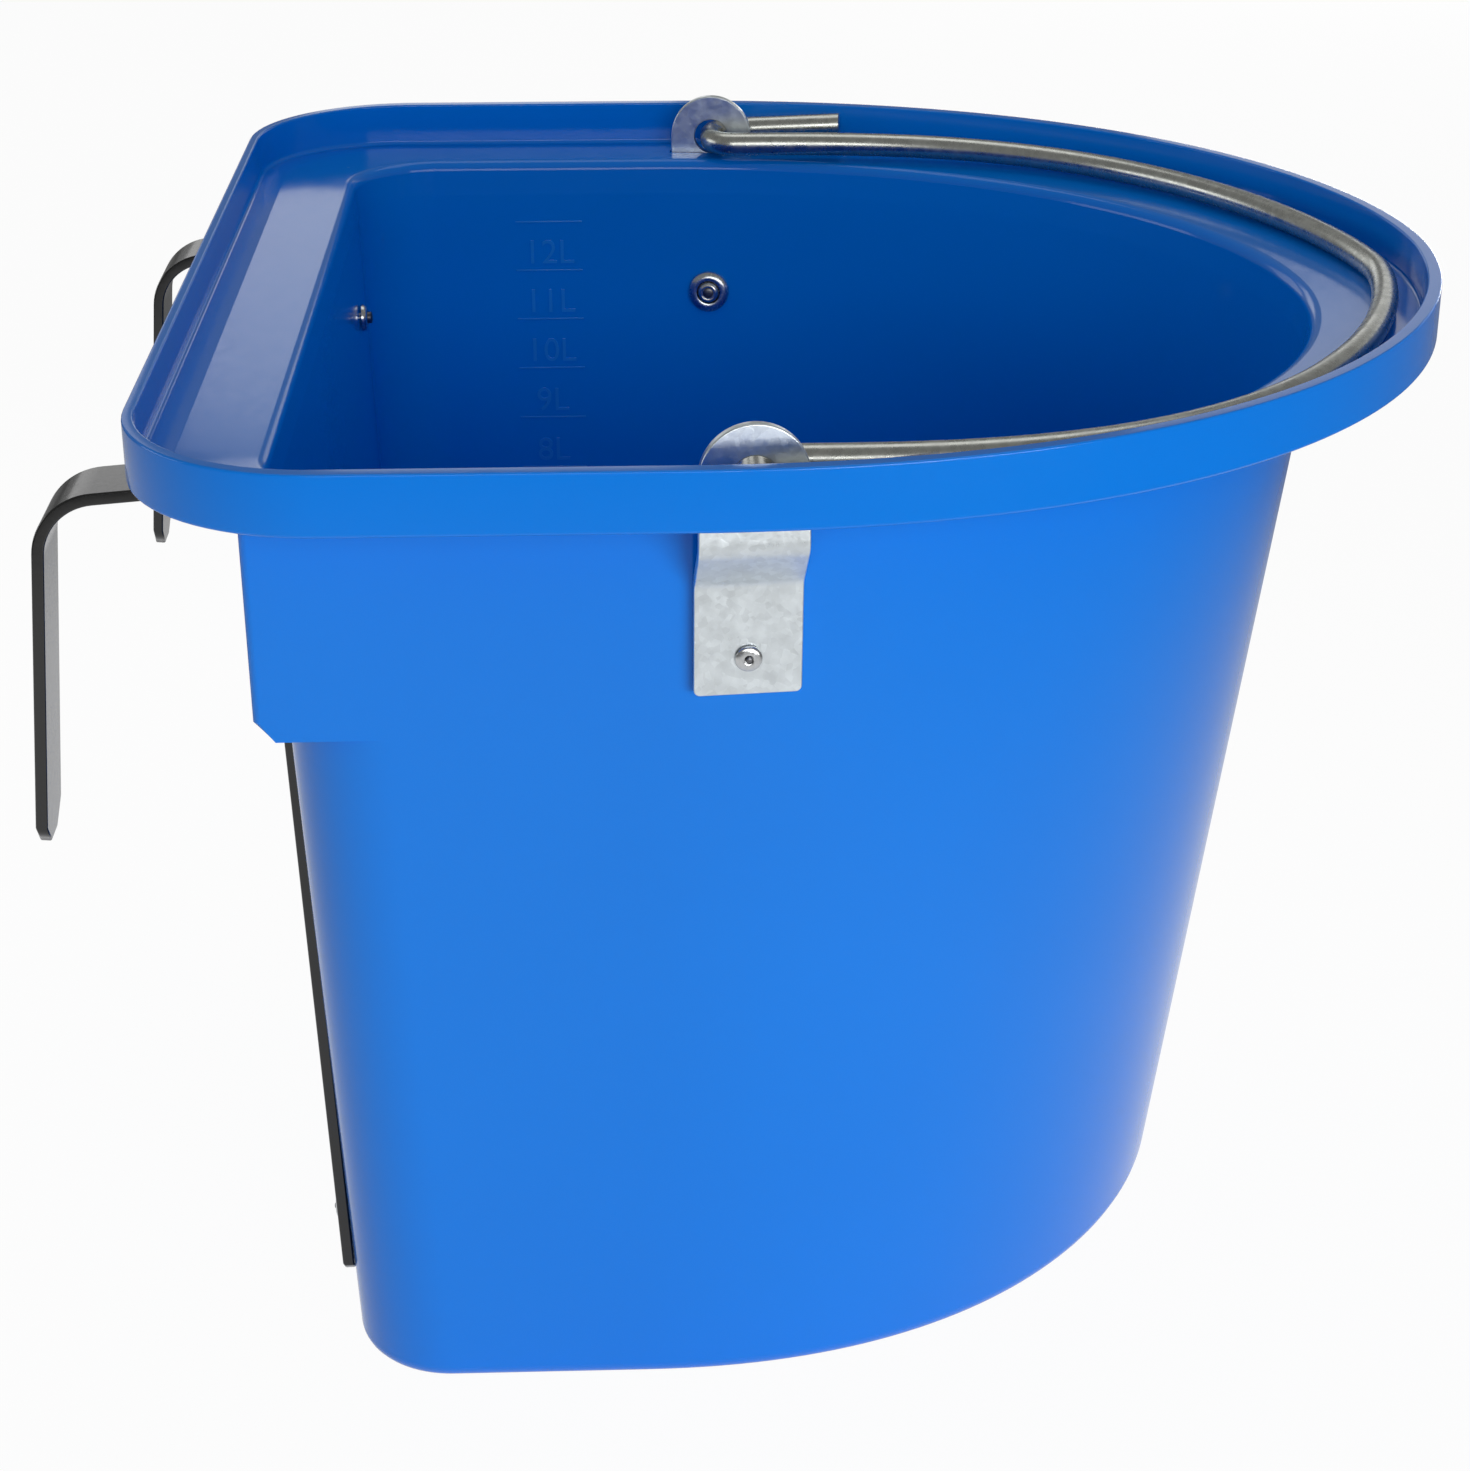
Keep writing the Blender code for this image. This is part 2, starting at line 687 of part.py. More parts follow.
def rivet_profile(out_seat, in_seat):
    """A hollow rivet's section. Height 0 is the outside of the wall and its head is at the top."""
    bore = RIVET_BORE_DIAMETER / 2
    tube = RIVET_TUBE_DIAMETER / 2
    head = RIVET_HEAD_DIAMETER / 2
    bulb = RIVET_BULB_DIAMETER / 2
    recess = MANDREL_HEAD_DIAMETER / 2 + GAP
    top = out_seat + RIVET_HEAD_HEIGHT
    end = -in_seat - RIVET_BULB_LENGTH
    profile = []
    for along, fall in quarter_turn(ROUNDING_STEPS):
        profile.append((bore + GAP + (head - bore - GAP) * along, top - RIVET_HEAD_HEIGHT * fall))
    profile += [(tube, out_seat), (tube, -in_seat)]
    for along, fall in quarter_turn(ROUNDING_STEPS):
        profile.append((bulb - (bulb - recess - GAP) * fall, -in_seat - RIVET_BULB_LENGTH * along))
    profile += [(recess, end), (recess, end + MANDREL_HEAD_RECESS)]
    profile += [(bore, end + MANDREL_HEAD_RECESS), (bore, top)]
    return profile


def mandrel_profile(out_seat, in_seat):
    """The broken mandrel in a rivet's bore, with its head in the recess of the bulb."""
    stem = MANDREL_DIAMETER / 2
    head = MANDREL_HEAD_DIAMETER / 2
    top = out_seat + RIVET_HEAD_HEIGHT - GAP
    seat = -in_seat - RIVET_BULB_LENGTH + MANDREL_HEAD_RECESS - GAP
    end = seat - MANDREL_HEAD_LENGTH
    profile = [(0.0, top), (stem, top), (stem, seat), (head, seat)]
    return profile + [(head, end + GAP), (head - GAP, end), (0.0, end)]


def washer_profile(seat):
    hole = RIVET_HOLE_RADIUS
    edge = WASHER_DIAMETER / 2
    back = -seat - WASHER_THICKNESS
    return [(hole, -seat), (edge, -seat), (edge, back), (hole, back)]


def bucket_body(group, tools):
    """The moulded bucket with its shoulder, the channels of the hooks and all its holes."""
    body = loft("bucket_body", bucket_rings(), group)
    boolean(body, "UNION", shoulder(tools))
    channel_top = HEIGHT - HOOK_ARM_BELOW_RIM + SHOULDER_CHAMFER
    channel_bottom = HEIGHT - SHOULDER_DEPTH - SHOULDER_CHAMFER
    for side_name, way in (("left", 1), ("right", -1)):
        channel = box(
            "hook_channel_" + side_name,
            (-HOOK_MOUTH, -HOOK_WIDTH / 2 - SLOT_CLEARANCE, channel_bottom - channel_top),
            (-CHANNEL_CUT, HOOK_WIDTH / 2 + SLOT_CLEARANCE, 0.0),
            tools,
        )
        lean = Matrix.Rotation(-math.atan(BACK_DRAFT), 4, "Y")
        place = Matrix.Translation((wall_back(channel_top), way * HOOK_SPACING / 2, channel_top))
        channel.matrix_world = place @ lean @ Matrix.Translation(channel.location)
        boolean(body, "DIFFERENCE", as_tool(channel))
        slot = box(
            "ear_slot_" + side_name,
            (
                -EAR_WIDTH / 2 - SLOT_CLEARANCE,
                -EAR_THICKNESS / 2 - SLOT_CLEARANCE,
                -EAR_JOGGLE_START,
            ),
            (EAR_WIDTH / 2 + SLOT_CLEARANCE, EAR_THICKNESS / 2 + SLOT_CLEARANCE, AXIS_BELOW_RIM),
            tools,
        )
        slot.matrix_world = ear_matrix(way) @ Matrix.Translation(slot.location)
        boolean(body, "DIFFERENCE", as_tool(slot))
        ear_hole = rod("ear_wall_hole_" + side_name, RIVET_HOLE_RADIUS, EAR_WIDTH, tools)
        ear_hole.matrix_world = ear_matrix(way) @ ear_rivet_matrix()
        boolean(body, "DIFFERENCE", as_tool(ear_hole))
        for index, height in enumerate(HOOK_RIVET_HEIGHTS):
            hole = rod(f"hook_wall_hole_{side_name}_{index}", RIVET_HOLE_RADIUS, EAR_WIDTH, tools)
            aside = Matrix.Translation((0.0, way * HOOK_SPACING / 2, 0.0))
            hole.matrix_world = aside @ back_rivet_matrix(height)
            boolean(body, "DIFFERENCE", as_tool(hole))
    return body


def place(name, data, finish, group, parent, matrix):
    made = new_object(name, data, group, parent)
    made.matrix_world = matrix
    if not data.materials:
        data.materials.append(finish)
    return made


def build():
    clear_scene()
    group = new_collection(OBJECT_NAME)
    tools = new_collection(TOOLS_NAME)
    plastic = material("moulded_blue_polyethylene", (0.014, 0.190, 0.680), 0.32, 0.0)
    zinc = material("zinc_plated_steel", (0.600, 0.660, 0.680), 0.35, 1.0)
    wire = material("drawn_zinc_wire", (0.420, 0.420, 0.390), 0.25, 1.0)
    paint = material("black_gloss_enamel", (0.012, 0.012, 0.011), 0.18, 0.0)
    rivet_metal = material("rivet_steel", (0.560, 0.570, 0.580), 0.25, 1.0)
    mandrel_metal = material("mandrel_steel", (0.120, 0.120, 0.130), 0.35, 1.0)

    root = new_object("feed_bucket", None, group)
    axis = new_object("bail_axis", None, group, root)
    axis.location = (AXIS_X, 0.0, AXIS_Z)

    body = bucket_body(group, tools)
    body.parent = root
    body.data.materials.append(plastic)
    smooth(body.data)
    bail(group, axis).data.materials.append(wire)

    ear = ear_mesh(tools)
    hook = hook_mesh(tools)
    side_wall = WALL * math.cos(math.atan(SIDE_DRAFT))
    back_wall = WALL * math.cos(math.atan(BACK_DRAFT))
    ear_seats = (EAR_THICKNESS + 2 * GAP, side_wall + WASHER_THICKNESS + 2 * GAP)
    hook_seats = (HOOK_THICKNESS + 2 * GAP, back_wall + GAP)
    ear_rivet = turned_mesh("ear_rivet", rivet_profile(*ear_seats), True, tools)
    ear_mandrel = turned_mesh("ear_mandrel", mandrel_profile(*ear_seats), False, tools)
    washer = turned_mesh("ear_washer", washer_profile(side_wall + GAP), True, tools)
    hook_rivet = turned_mesh("hook_rivet", rivet_profile(*hook_seats), True, tools)
    hook_mandrel = turned_mesh("hook_mandrel", mandrel_profile(*hook_seats), False, tools)

    for side_name, way in (("left", 1), ("right", -1)):
        ear_place = ear_matrix(way)
        rivet_place = ear_place @ ear_rivet_matrix()
        place("ear_bracket_" + side_name, ear, zinc, group, root, ear_place)
        place("ear_rivet_" + side_name, ear_rivet, rivet_metal, group, root, rivet_place)
        place("ear_mandrel_" + side_name, ear_mandrel, mandrel_metal, group, root, rivet_place)
        place("ear_washer_" + side_name, washer, zinc, group, root, rivet_place)
        aside = Matrix.Translation((0.0, way * HOOK_SPACING / 2, 0.0))
        place("hook_" + side_name, hook, paint, group, root, aside)
        for level, height in zip(("upper", "lower"), HOOK_RIVET_HEIGHTS):
            name = f"{side_name}_{level}"
            spot = aside @ back_rivet_matrix(height)
            place("hook_rivet_" + name, hook_rivet, rivet_metal, group, root, spot)
            place("hook_mandrel_" + name, hook_mandrel, mandrel_metal, group, root, spot)


build()
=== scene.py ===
"""The looks of the hanging feed bucket: a moulded D-shaped bucket, its wire bail in two zinc
straps, and two enamelled hooks on blind rivets. Metres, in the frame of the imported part."""

import math

import bmesh
import bpy
from mathutils import Matrix, Vector


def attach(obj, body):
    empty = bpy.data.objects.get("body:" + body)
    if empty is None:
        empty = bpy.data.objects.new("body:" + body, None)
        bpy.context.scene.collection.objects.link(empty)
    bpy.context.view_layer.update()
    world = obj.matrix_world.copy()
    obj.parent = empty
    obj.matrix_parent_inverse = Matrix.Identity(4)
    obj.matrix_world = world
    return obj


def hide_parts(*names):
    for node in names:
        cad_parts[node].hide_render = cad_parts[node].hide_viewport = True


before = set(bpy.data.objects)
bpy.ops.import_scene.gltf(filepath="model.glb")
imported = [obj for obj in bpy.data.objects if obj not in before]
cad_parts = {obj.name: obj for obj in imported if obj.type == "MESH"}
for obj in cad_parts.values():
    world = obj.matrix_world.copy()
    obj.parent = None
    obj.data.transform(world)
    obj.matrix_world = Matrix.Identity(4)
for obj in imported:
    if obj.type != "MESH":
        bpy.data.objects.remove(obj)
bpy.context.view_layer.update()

MM = 0.001

# Bucket, as in the part
HEIGHT = 264 * MM
BASE_LENGTH = 225.4 * MM
BASE_WIDTH = 271 * MM
BACK_DRAFT = 0.040
SIDE_DRAFT = 0.063
NOSE_DRAFT = 0.130
WALL = 2.5 * MM
FLOOR = 3 * MM
WALL_CORNER = 25.3 * MM
WALL_STRAIGHT = 0.33
RIM_CORNER = 46.8 * MM
RIM_STRAIGHT = 0.38
LEDGE_BACK = 28.5 * MM
LEDGE_SIDE = 24.2 * MM
LEDGE_NOSE = 28.5 * MM
LEDGE_THICKNESS = 2.3 * MM
LEDGE_FALL = 2 * MM
LIP_HEIGHT = 11.2 * MM
NOSE_LIP = 3.6 * MM
LIP_FOOT = 1.5 * MM
NOSE_LENGTH_POWER = 2.19
NOSE_WIDTH_POWER = 1.91

# Lip thickness at the back, the sides and the nose, and the roundings of the moulding
LIP_THICKNESS = (2.6 * MM, 4.0 * MM, NOSE_LIP)
SKIRT_DROP = 1 * MM
LIP_ROUNDING = 0.9 * MM
LIP_TOP_ROUNDING = 0.55 * MM
LIP_FILLET = 1.4 * MM
MOUTH_ROUNDING = 3 * MM
MOUTH_BAND = 8 * MM
MOUTH_FLARE = 0.3 * MM
MOUTH_STEP = 0.12 * MM
SIDE_LIP_EXTRA = 1.4 * MM
SIDE_LEDGE_FALL = 0.1 * MM
BASE_ROUNDING = 5 * MM
FLOOR_ROUNDING = 8 * MM
UNDER_FILLET = 1.5 * MM
FLAT_STRIP_SHARE = 0.27

# Squared shoulder under the back ledge
SHOULDER_BOTTOM = HEIGHT - 75 * MM
SHOULDER_PROUD_BACK = 2.2 * MM
SHOULDER_PROUD_SIDE = 0.4 * MM
SHOULDER_CHAMFER = 5 * MM
SHOULDER_SKIN = 2.5 * MM
SHOULDER_CORNER = 2 * MM

# Shallow channel for each hook, and its cutter: out, down and up from a point on the wall
CHANNEL_Z = SHOULDER_BOTTOM + 50 * MM
CHANNEL_PROUD = 0.1 * MM
CHANNEL_REACH = 30 * MM
CHANNEL_DOWN = 80 * MM
CHANNEL_UP = 4 * MM
SLOT_CLEARANCE = 0.6 * MM

# Ears; the cuts across them are in whole mm below the bail hole, where the strip bends
EAR_X = -10.96 * MM
EAR_Y = 159.75 * MM
AXIS_BELOW_RIM = 7.5 * MM
AXIS_Z = HEIGHT - AXIS_BELOW_RIM
EAR_WIDTH = 25 * MM
EAR_THICKNESS = 2.5 * MM
EAR_BELOW = 56 * MM
EAR_HOLE = 10.4 * MM
JOGGLE_START = 17 * MM
JOGGLE_END = 28 * MM
EAR_BEND = 4 * MM
EAR_RIVET_UP = 9.5 * MM
EAR_CORNER = 1.5 * MM
EAR_CUTS = range(12, 38)

# Bail: places in y count from the ears, lengths in x from the axis
WIRE = 7 * MM
TAIL_FROM_EAR = 8.25 * MM
LEG_FROM_EAR = 11.75 * MM
TAIL_LENGTH = 40.5 * MM
TAIL_RISE = 2.5 * MM
TAIL_TOE_IN = 0.14
BAIL_BEND = 7 * MM
BAIL_STRAIGHT = 11.5 * MM
BAIL_INSIDE_LIP = 8.5 * MM
BAIL_LENGTH_POWER = 2.66
BAIL_WIDTH_POWER = 1.574
BAIL_STEPS = 72
NOSE_EASING = 12
NOSE_EASING_START = 0.8

# Hooks
HOOK_Y = 103.4 * MM
HOOK_WIDTH = 20 * MM
HOOK_THICKNESS = 3 * MM
HOOK_FOOT = 19 * MM
HOOK_BEND_Z = HEIGHT - 28.8 * MM
HOOK_TIP_Z = HEIGHT - 119 * MM
HOOK_REACH = 52.7 * MM
HOOK_ARM_SLOPE = 0.083
HOOK_FLARE = 0.081
HOOK_BENDS = (7 * MM, 15 * MM)
HOOK_TIP_CHAMFER = 6 * MM
HOOK_FOOT_CHAMFER = 3 * MM
HOOK_RIVETS = (HEIGHT - 49 * MM, 34 * MM)

# Room between pieces, and what counts as the same place
GAP = 0.3 * MM
HAIR = 0.01 * MM
WELD = 0.005 * MM

# Points along the outline of half the bucket: flat back, corner, side, nose
BACK_SHARES = (0.0, 0.3, 0.6, 0.75, 0.9, 0.962, 0.97, 1.0)
CORNER_STEPS = 20
SIDE_STEPS = 6
NOSE_STEPS = 56
CORNER_START = len(BACK_SHARES) - 1
CORNER_END = CORNER_START + CORNER_STEPS
POCKET_START = BACK_SHARES.index(0.97)
POCKET_END = CORNER_START + 13
NOSE_START = CORNER_END + SIDE_STEPS

# Blind rivets and washers, in mm as their sections are
RING_POINTS = 40
HEAD_RADIUS = 3.2
TUBE_RADIUS = 1.6
BORE_RADIUS = 1.05
MANDREL_RADIUS = 0.9
WASHER_BORE = 1.95
WASHER_SEAT = 1.0

# Levels of the bucket's skin
LEDGE_TOP = HEIGHT - LIP_HEIGHT
LEDGE_EDGE = LEDGE_TOP - LEDGE_FALL
UNDER_LEDGE = LEDGE_EDGE - LEDGE_THICKNESS
OUTSIDE_LEVELS = (0.03, 0.07, 0.11, 0.15)
INSIDE_LEVELS = (0.2, 0.15, 0.1, 0.05)
UNDER_LEDGE_STEPS = ((0.03, 0.3 * UNDER_FILLET), (0.09, 0.0))
LEDGE_SHARES = (FLAT_STRIP_SHARE - 0.02, FLAT_STRIP_SHARE, 0.55, 0.8)
MOUTH_BAND_STEPS = ((0.0, MOUTH_STEP), (1.2 * MM, 0.0), (2.4 * MM, 0.0))
SMALL_ARC = 4
LARGE_ARC = 6

# Litre marks inside
TOP_LITRE = 13
TOP_LITRE_Z = HEIGHT - 31.5 * MM
LITRE_VOLUME = 0.001
HALF_LITRE_STEP = 8 * MM
MARK_X = -62.5 * MM
MARK_LENGTH = 21 * MM
MARK_WIDTH = 0.55 * MM
MARK_RAISED = 0.22 * MM
MARK_SUNK = 0.2 * MM
FIGURE_RAISED = 0.34 * MM
FIGURE_LIFT = 2.2 * MM
DIGIT_HEIGHT = 7.5 * MM
DIGIT_SHARE = 0.7

# Colours, sRGB
PLASTIC_BLUES = ("007be4", "007fea")
# Lighter blue of the litre marks: a painted highlight, where light catches the raised marks
MARK_HIGHLIGHT_BLUES = ("1a86e8", "218aea")
NICK_BLUE = "5f9be0"
STRAP_ZINC = "e8eff2"
WIRE_ZINC = "cbcdc6"
WASHER_ZINC = "d5dade"
RIVET_STEEL = "d8dadb"
MANDREL_STEEL = "77777a"
ENAMEL_BLACKS = ("070707", "161614")
# Floor grey far from the bucket and white near it: a painted pool of light
FLOOR_GREYS = ("9a9a9a", "f4f4f4")

# Studio
CAMERA_PLACE = (-0.0380, -0.7779, 0.4770)
CAMERA_TURN = (65.46, 0.0, -2.11)
CAMERA_LENS = 73.42
CAMERA_SENSOR = 36.0
FLOOR_SIZE = 14.0
FLOOR_BELOW = 0.2 * MM
# Centre and fade of the floor's painted pool of light, and of its glow in reflections
BRIGHT_FLOOR_CENTRE = (-0.25, -0.1)
BRIGHT_FLOOR_RADII = (0.45, 0.85)
FLOOR_GLOW_SEEN = 0.96
FLOOR_GLOW_REFLECTED = 0.65
WORLD_LIGHT = 0.23
WORLD_SEEN = 0.985
BUCKET_MIDDLE = (0, 0, 0.13)

# Lamps: name, place, aim, width and height in metres, watts
LAMPS = (
    ("front_softbox", (0.35, -2.0, 0.90), BUCKET_MIDDLE, 1.8, 0.6, 10.8),
    ("low_right_panel", (1.1, -1.9, 0.16), BUCKET_MIDDLE, 1.4, 0.28, 20.5),
    ("left_panel", (-2.0, 0.2, 0.5), BUCKET_MIDDLE, 1.2, 0.8, 5.0),
    ("back_window_left", (-0.16, 2.0, 0.66), (-0.16, 0, 0.66), 0.34, 0.72, 0.75),
    ("back_window_right", (1.40, 2.0, 0.66), (1.40, 0, 0.66), 1.9, 0.72, 3.0),
    ("back_window_far_left", (-0.91, 2.0, 0.80), (-0.91, 0, 0.80), 0.78, 0.7, 1.25),
    ("low_back_panel", (0.75, 1.9, 0.14), BUCKET_MIDDLE, 1.4, 0.24, 8.0),
    ("top_panel", (0.1, 0.8, 2.1), BUCKET_MIDDLE, 1.6, 1.0, 5.0),
    ("small_lamp", (0.104, -1.5, 0.38), (0, 0, 0.2), 0.08, 0.05, 0.25),
)


# Bench work


def start_clean():
    """Leaves edit mode, with nothing selected."""
    if bpy.context.object is not None and bpy.context.object.mode != "OBJECT":
        bpy.ops.object.mode_set(mode="OBJECT")
    bpy.ops.object.select_all(action="DESELECT")


def take(piece):
    """Makes the piece the only one selected, and the active one."""
    start_clean()
    piece.select_set(True)
    bpy.context.view_layer.objects.active = piece
    return piece


def name_piece(name):
    """Names the piece that was just made."""
    piece = bpy.context.object
    piece.name = name
    piece.data.name = name
    return piece


def edit_mesh(piece):
    """The piece in edit mode with nothing selected, and its edit mesh."""
    take(piece)
    bpy.ops.object.mode_set(mode="EDIT")
    bpy.ops.mesh.select_all(action="DESELECT")
    return bmesh.from_edit_mesh(piece.data)


def show(piece):
    """Writes the edit mesh back to the piece."""
    bmesh.update_edit_mesh(piece.data)


def pick(piece, kind, wanted):
    """Selects only the points, edges or faces of the piece that are wanted."""
    bpy.ops.mesh.select_all(action="DESELECT")
    for item in getattr(bmesh.from_edit_mesh(piece.data), kind):
        if wanted(item):
            item.select = True
    show(piece)


def settle(piece):
    """Puts the piece's place, turn and scale into its mesh."""
    take(piece)
    bpy.ops.object.transform_apply(location=True, rotation=True, scale=True)
    return piece


def apply_modifiers(piece):
    """Turns the piece's modifiers into mesh, in their order."""
    take(piece)
    for modifier in list(piece.modifiers):
        bpy.ops.object.modifier_apply(modifier=modifier.name)
    return piece


def weld(piece):
    """Joins doubled points and turns all faces outwards."""
    edit_mesh(piece)
    bpy.ops.mesh.select_all(action="SELECT")
    bpy.ops.mesh.remove_doubles(threshold=WELD)
    bpy.ops.mesh.dissolve_degenerate(threshold=WELD)
    bpy.ops.mesh.normals_make_consistent(inside=False)
    bpy.ops.object.mode_set(mode="OBJECT")
    return piece


def smooth(piece, degrees):
    """Shades the piece smooth, except over edges that turn by more than the angle."""
    take(piece)
    bpy.ops.object.shade_smooth_by_angle(angle=math.radians(degrees))
    return piece


def flatten_shading(piece):
    """Weights the shading by the size of the faces, so that flats beside a rounding stay flat."""
    weighted = piece.modifiers.new("weighted", "WEIGHTED_NORMAL")
    weighted.mode = "FACE_AREA"
    weighted.weight = 50
    weighted.keep_sharp = True
    return apply_modifiers(piece)


def cut(piece, cutter):
    """Takes the cutter's shape out of the piece and removes the cutter."""
    modifier = piece.modifiers.new("cut", "BOOLEAN")
    modifier.operation = "DIFFERENCE"
    modifier.solver = "EXACT"
    modifier.object = cutter
    apply_modifiers(piece)
    take(cutter)
    bpy.ops.object.delete()
    return piece


def break_edges(piece, width, degrees, segments=3):
    """Rounds every edge that is sharper than the given angle."""
    modifier = piece.modifiers.new("edge", "BEVEL")
    modifier.width = width
    modifier.segments = segments
    modifier.limit_method = "ANGLE"
    modifier.angle_limit = math.radians(degrees)
    modifier.use_clamp_overlap = True
    return apply_modifiers(piece)


def copy_of(piece, name, matrix):
    """A copy with its own mesh, placed by the matrix, its place in its mesh."""
    made = piece.copy()
    made.data = piece.data.copy()
    bpy.context.scene.collection.objects.link(made)
    made.name = name
    made.data.name = name
    made.data.transform(matrix)
    if matrix.determinant() < 0:
        made.data.flip_normals()
    return made


def lofted(name, levels):
    """Extrudes a filled ring from level to level, each level as many points as the first."""
    start_clean()
    bpy.ops.mesh.primitive_circle_add(vertices=len(levels[0]), fill_type="NGON")
    piece = name_piece(name)
    bpy.ops.object.mode_set(mode="EDIT")
    work = bmesh.from_edit_mesh(piece.data)
    around = work.verts.layers.int.new("around")
    for index, point in enumerate(work.verts):
        point[around] = index
        point.co = levels[0][index]
    show(piece)
    bpy.ops.mesh.select_all(action="SELECT")
    for level in levels[1:]:
        bpy.ops.mesh.extrude_region_move()
        work = bmesh.from_edit_mesh(piece.data)
        around = work.verts.layers.int["around"]
        for point in work.verts:
            if point.select:
                point.co = level[point[around]]
        show(piece)
    bpy.ops.object.mode_set(mode="OBJECT")
    return weld(piece)


def quarter(steps):
    """The sine and the shortfall of the cosine along a quarter turn."""
    turns = [math.pi / 2 * step / steps for step in range(steps + 1)]
    return [(math.sin(turn), 1 - math.cos(turn)) for turn in turns]


# Bucket outline


def wall_back(z):
    return -BASE_LENGTH / 2 - BACK_DRAFT * z


def wall_front(z):
    return BASE_LENGTH / 2 + NOSE_DRAFT * z


def wall_side(z):
    return BASE_WIDTH / 2 + SIDE_DRAFT * z


def half_outline(back, front, side, corner, straight):
    """Points of the left half, from the middle of the back round to the tip of the nose."""
    points = [(back, (side - corner) * share) for share in BACK_SHARES]
    for along, fall in quarter(CORNER_STEPS)[1:]:
        points.append((back + corner * fall, side - corner * (1 - along)))
    start = back + (front - back) * straight
    for step in range(1, SIDE_STEPS + 1):
        points.append((back + corner + (start - back - corner) * step / SIDE_STEPS, side))
    for step in range(1, NOSE_STEPS + 1):
        turn = math.pi / 2 * step / NOSE_STEPS
        along = math.sin(turn) ** (2 / NOSE_LENGTH_POWER)
        across = max(math.cos(turn), 0.0) ** (2 / NOSE_WIDTH_POWER)
        points.append((start + (front - start) * along, side * across))
    points[-1] = (front, 0.0)
    return points


def both_halves(half, z):
    """A ring of points from the left half, with z one height or one for each point."""
    heights = z if isinstance(z, list) else [z] * len(half)
    left = [Vector((x, y, height)) for (x, y), height in zip(half, heights)]
    return left + [Vector((p.x, -p.y, p.z)) for p in left[-2:0:-1]]


def wall_half(z, inset=0.0):
    """The wall's outline at a height, moved inwards by the inset."""
    return half_outline(
        wall_back(z) + inset, wall_front(z) - inset, wall_side(z) - inset,
        WALL_CORNER - inset, WALL_STRAIGHT,
    )


RIM_BACK = wall_back(HEIGHT) - LEDGE_BACK
RIM_FRONT = wall_front(HEIGHT) + LEDGE_NOSE
RIM_SIDE = wall_side(HEIGHT) + LEDGE_SIDE


def rim_half(inset=0.0):
    """The rim's outline, moved inwards by the inset."""
    return half_outline(
        RIM_BACK + inset, RIM_FRONT - inset, RIM_SIDE - inset, RIM_CORNER - inset, RIM_STRAIGHT
    )


def midway(first, second, share):
    return first[0] + (second[0] - first[0]) * share, first[1] + (second[1] - first[1]) * share


def between(first, second, share):
    """The outline at a share of the way from the first to the second."""
    return [midway(a, b, share) for a, b in zip(first, second)]


def lip_half(extra):
    """The lip's inner outline, whose distance from the rim changes from back to side to nose."""
    back, side, nose = (rim_half(thickness + extra) for thickness in LIP_THICKNESS)
    points = back[: CORNER_START + 1]
    for index in range(CORNER_START + 1, CORNER_END + 1):
        points.append(midway(back[index], side[index], (index - CORNER_START) / CORNER_STEPS))
    for index in range(CORNER_END + 1, len(side)):
        share = (index - CORNER_END) / (len(side) - 1 - CORNER_END)
        points.append(midway(side[index], nose[index], share))
    return points


def side_share(index):
    """How much a point of the outline belongs to a side: none at the back and the nose tip."""
    if index <= CORNER_END:
        return max(index - CORNER_START, 0) / CORNER_STEPS
    return 1 - max(index - NOSE_START, 0) / NOSE_STEPS


def inner_heights(z, share):
    """Heights along the top of the ledge, whose sides lie lower at the lip and fall less."""
    heights = []
    for index in range(NOSE_START + NOSE_STEPS + 1):
        fall = LEDGE_FALL + (SIDE_LEDGE_FALL - LEDGE_FALL) * side_share(index)
        heights.append(z - SIDE_LIP_EXTRA * side_share(index) - fall * share)
    return heights


def shoulder_half(z, skin=0.0, chamfer=0.0):
    """The wall's outline with its back corners squared off, moved inwards by the skin."""
    points = wall_half(z)
    back = wall_back(HEIGHT) - SHOULDER_PROUD_BACK + skin
    side = wall_side(z) + SHOULDER_PROUD_SIDE - skin
    corner = max(SHOULDER_CORNER - skin, 0.0)
    flat_end = points[CORNER_START][1]
    leg = CORNER_STEPS * 3 // 10
    arc = CORNER_STEPS - 2 * leg
    for index in range(CORNER_END + 1):
        step = index - CORNER_START
        if step <= 0:
            points[index] = (back, points[index][1])
        elif step <= leg:
            points[index] = (back, flat_end + (side - corner - flat_end) * step / leg)
        elif step <= leg + arc:
            turn = math.pi / 2 * (step - leg) / arc
            points[index] = (
                back + corner * (1 - math.cos(turn)), side - corner * (1 - math.sin(turn))
            )
        else:
            share = (step - leg - arc) / leg
            start = back + corner
            merged = side + (wall_side(z) - side) * share
            points[index] = (start + (wall_back(z) + WALL_CORNER - start) * share, merged)
    if chamfer:
        limit = back - skin + chamfer
        points = [(max(x, limit) if i <= CORNER_END else x, y) for i, (x, y) in enumerate(points)]
    return points


def pocket_level(z, half):
    """A level that follows the half only in the pockets, and stays on the wall elsewhere."""
    wall = wall_half(SHOULDER_BOTTOM)
    points = list(wall)
    heights = [SHOULDER_BOTTOM] * len(wall)
    for index in range(POCKET_START, POCKET_END + 1):
        points[index] = half[index]
        heights[index] = z
    return both_halves(points, heights)


# Moulded bucket


def underside_levels():
    """The rounded edge of the base and the wall up to the shoulder."""
    levels = []
    for along, rise in quarter(LARGE_ARC):
        z = BASE_ROUNDING * rise
        levels.append(both_halves(wall_half(z, BASE_ROUNDING * (1 - along)), z))
    for z in (*OUTSIDE_LEVELS, SHOULDER_BOTTOM):
        levels.append(both_halves(wall_half(z), z))
    return levels


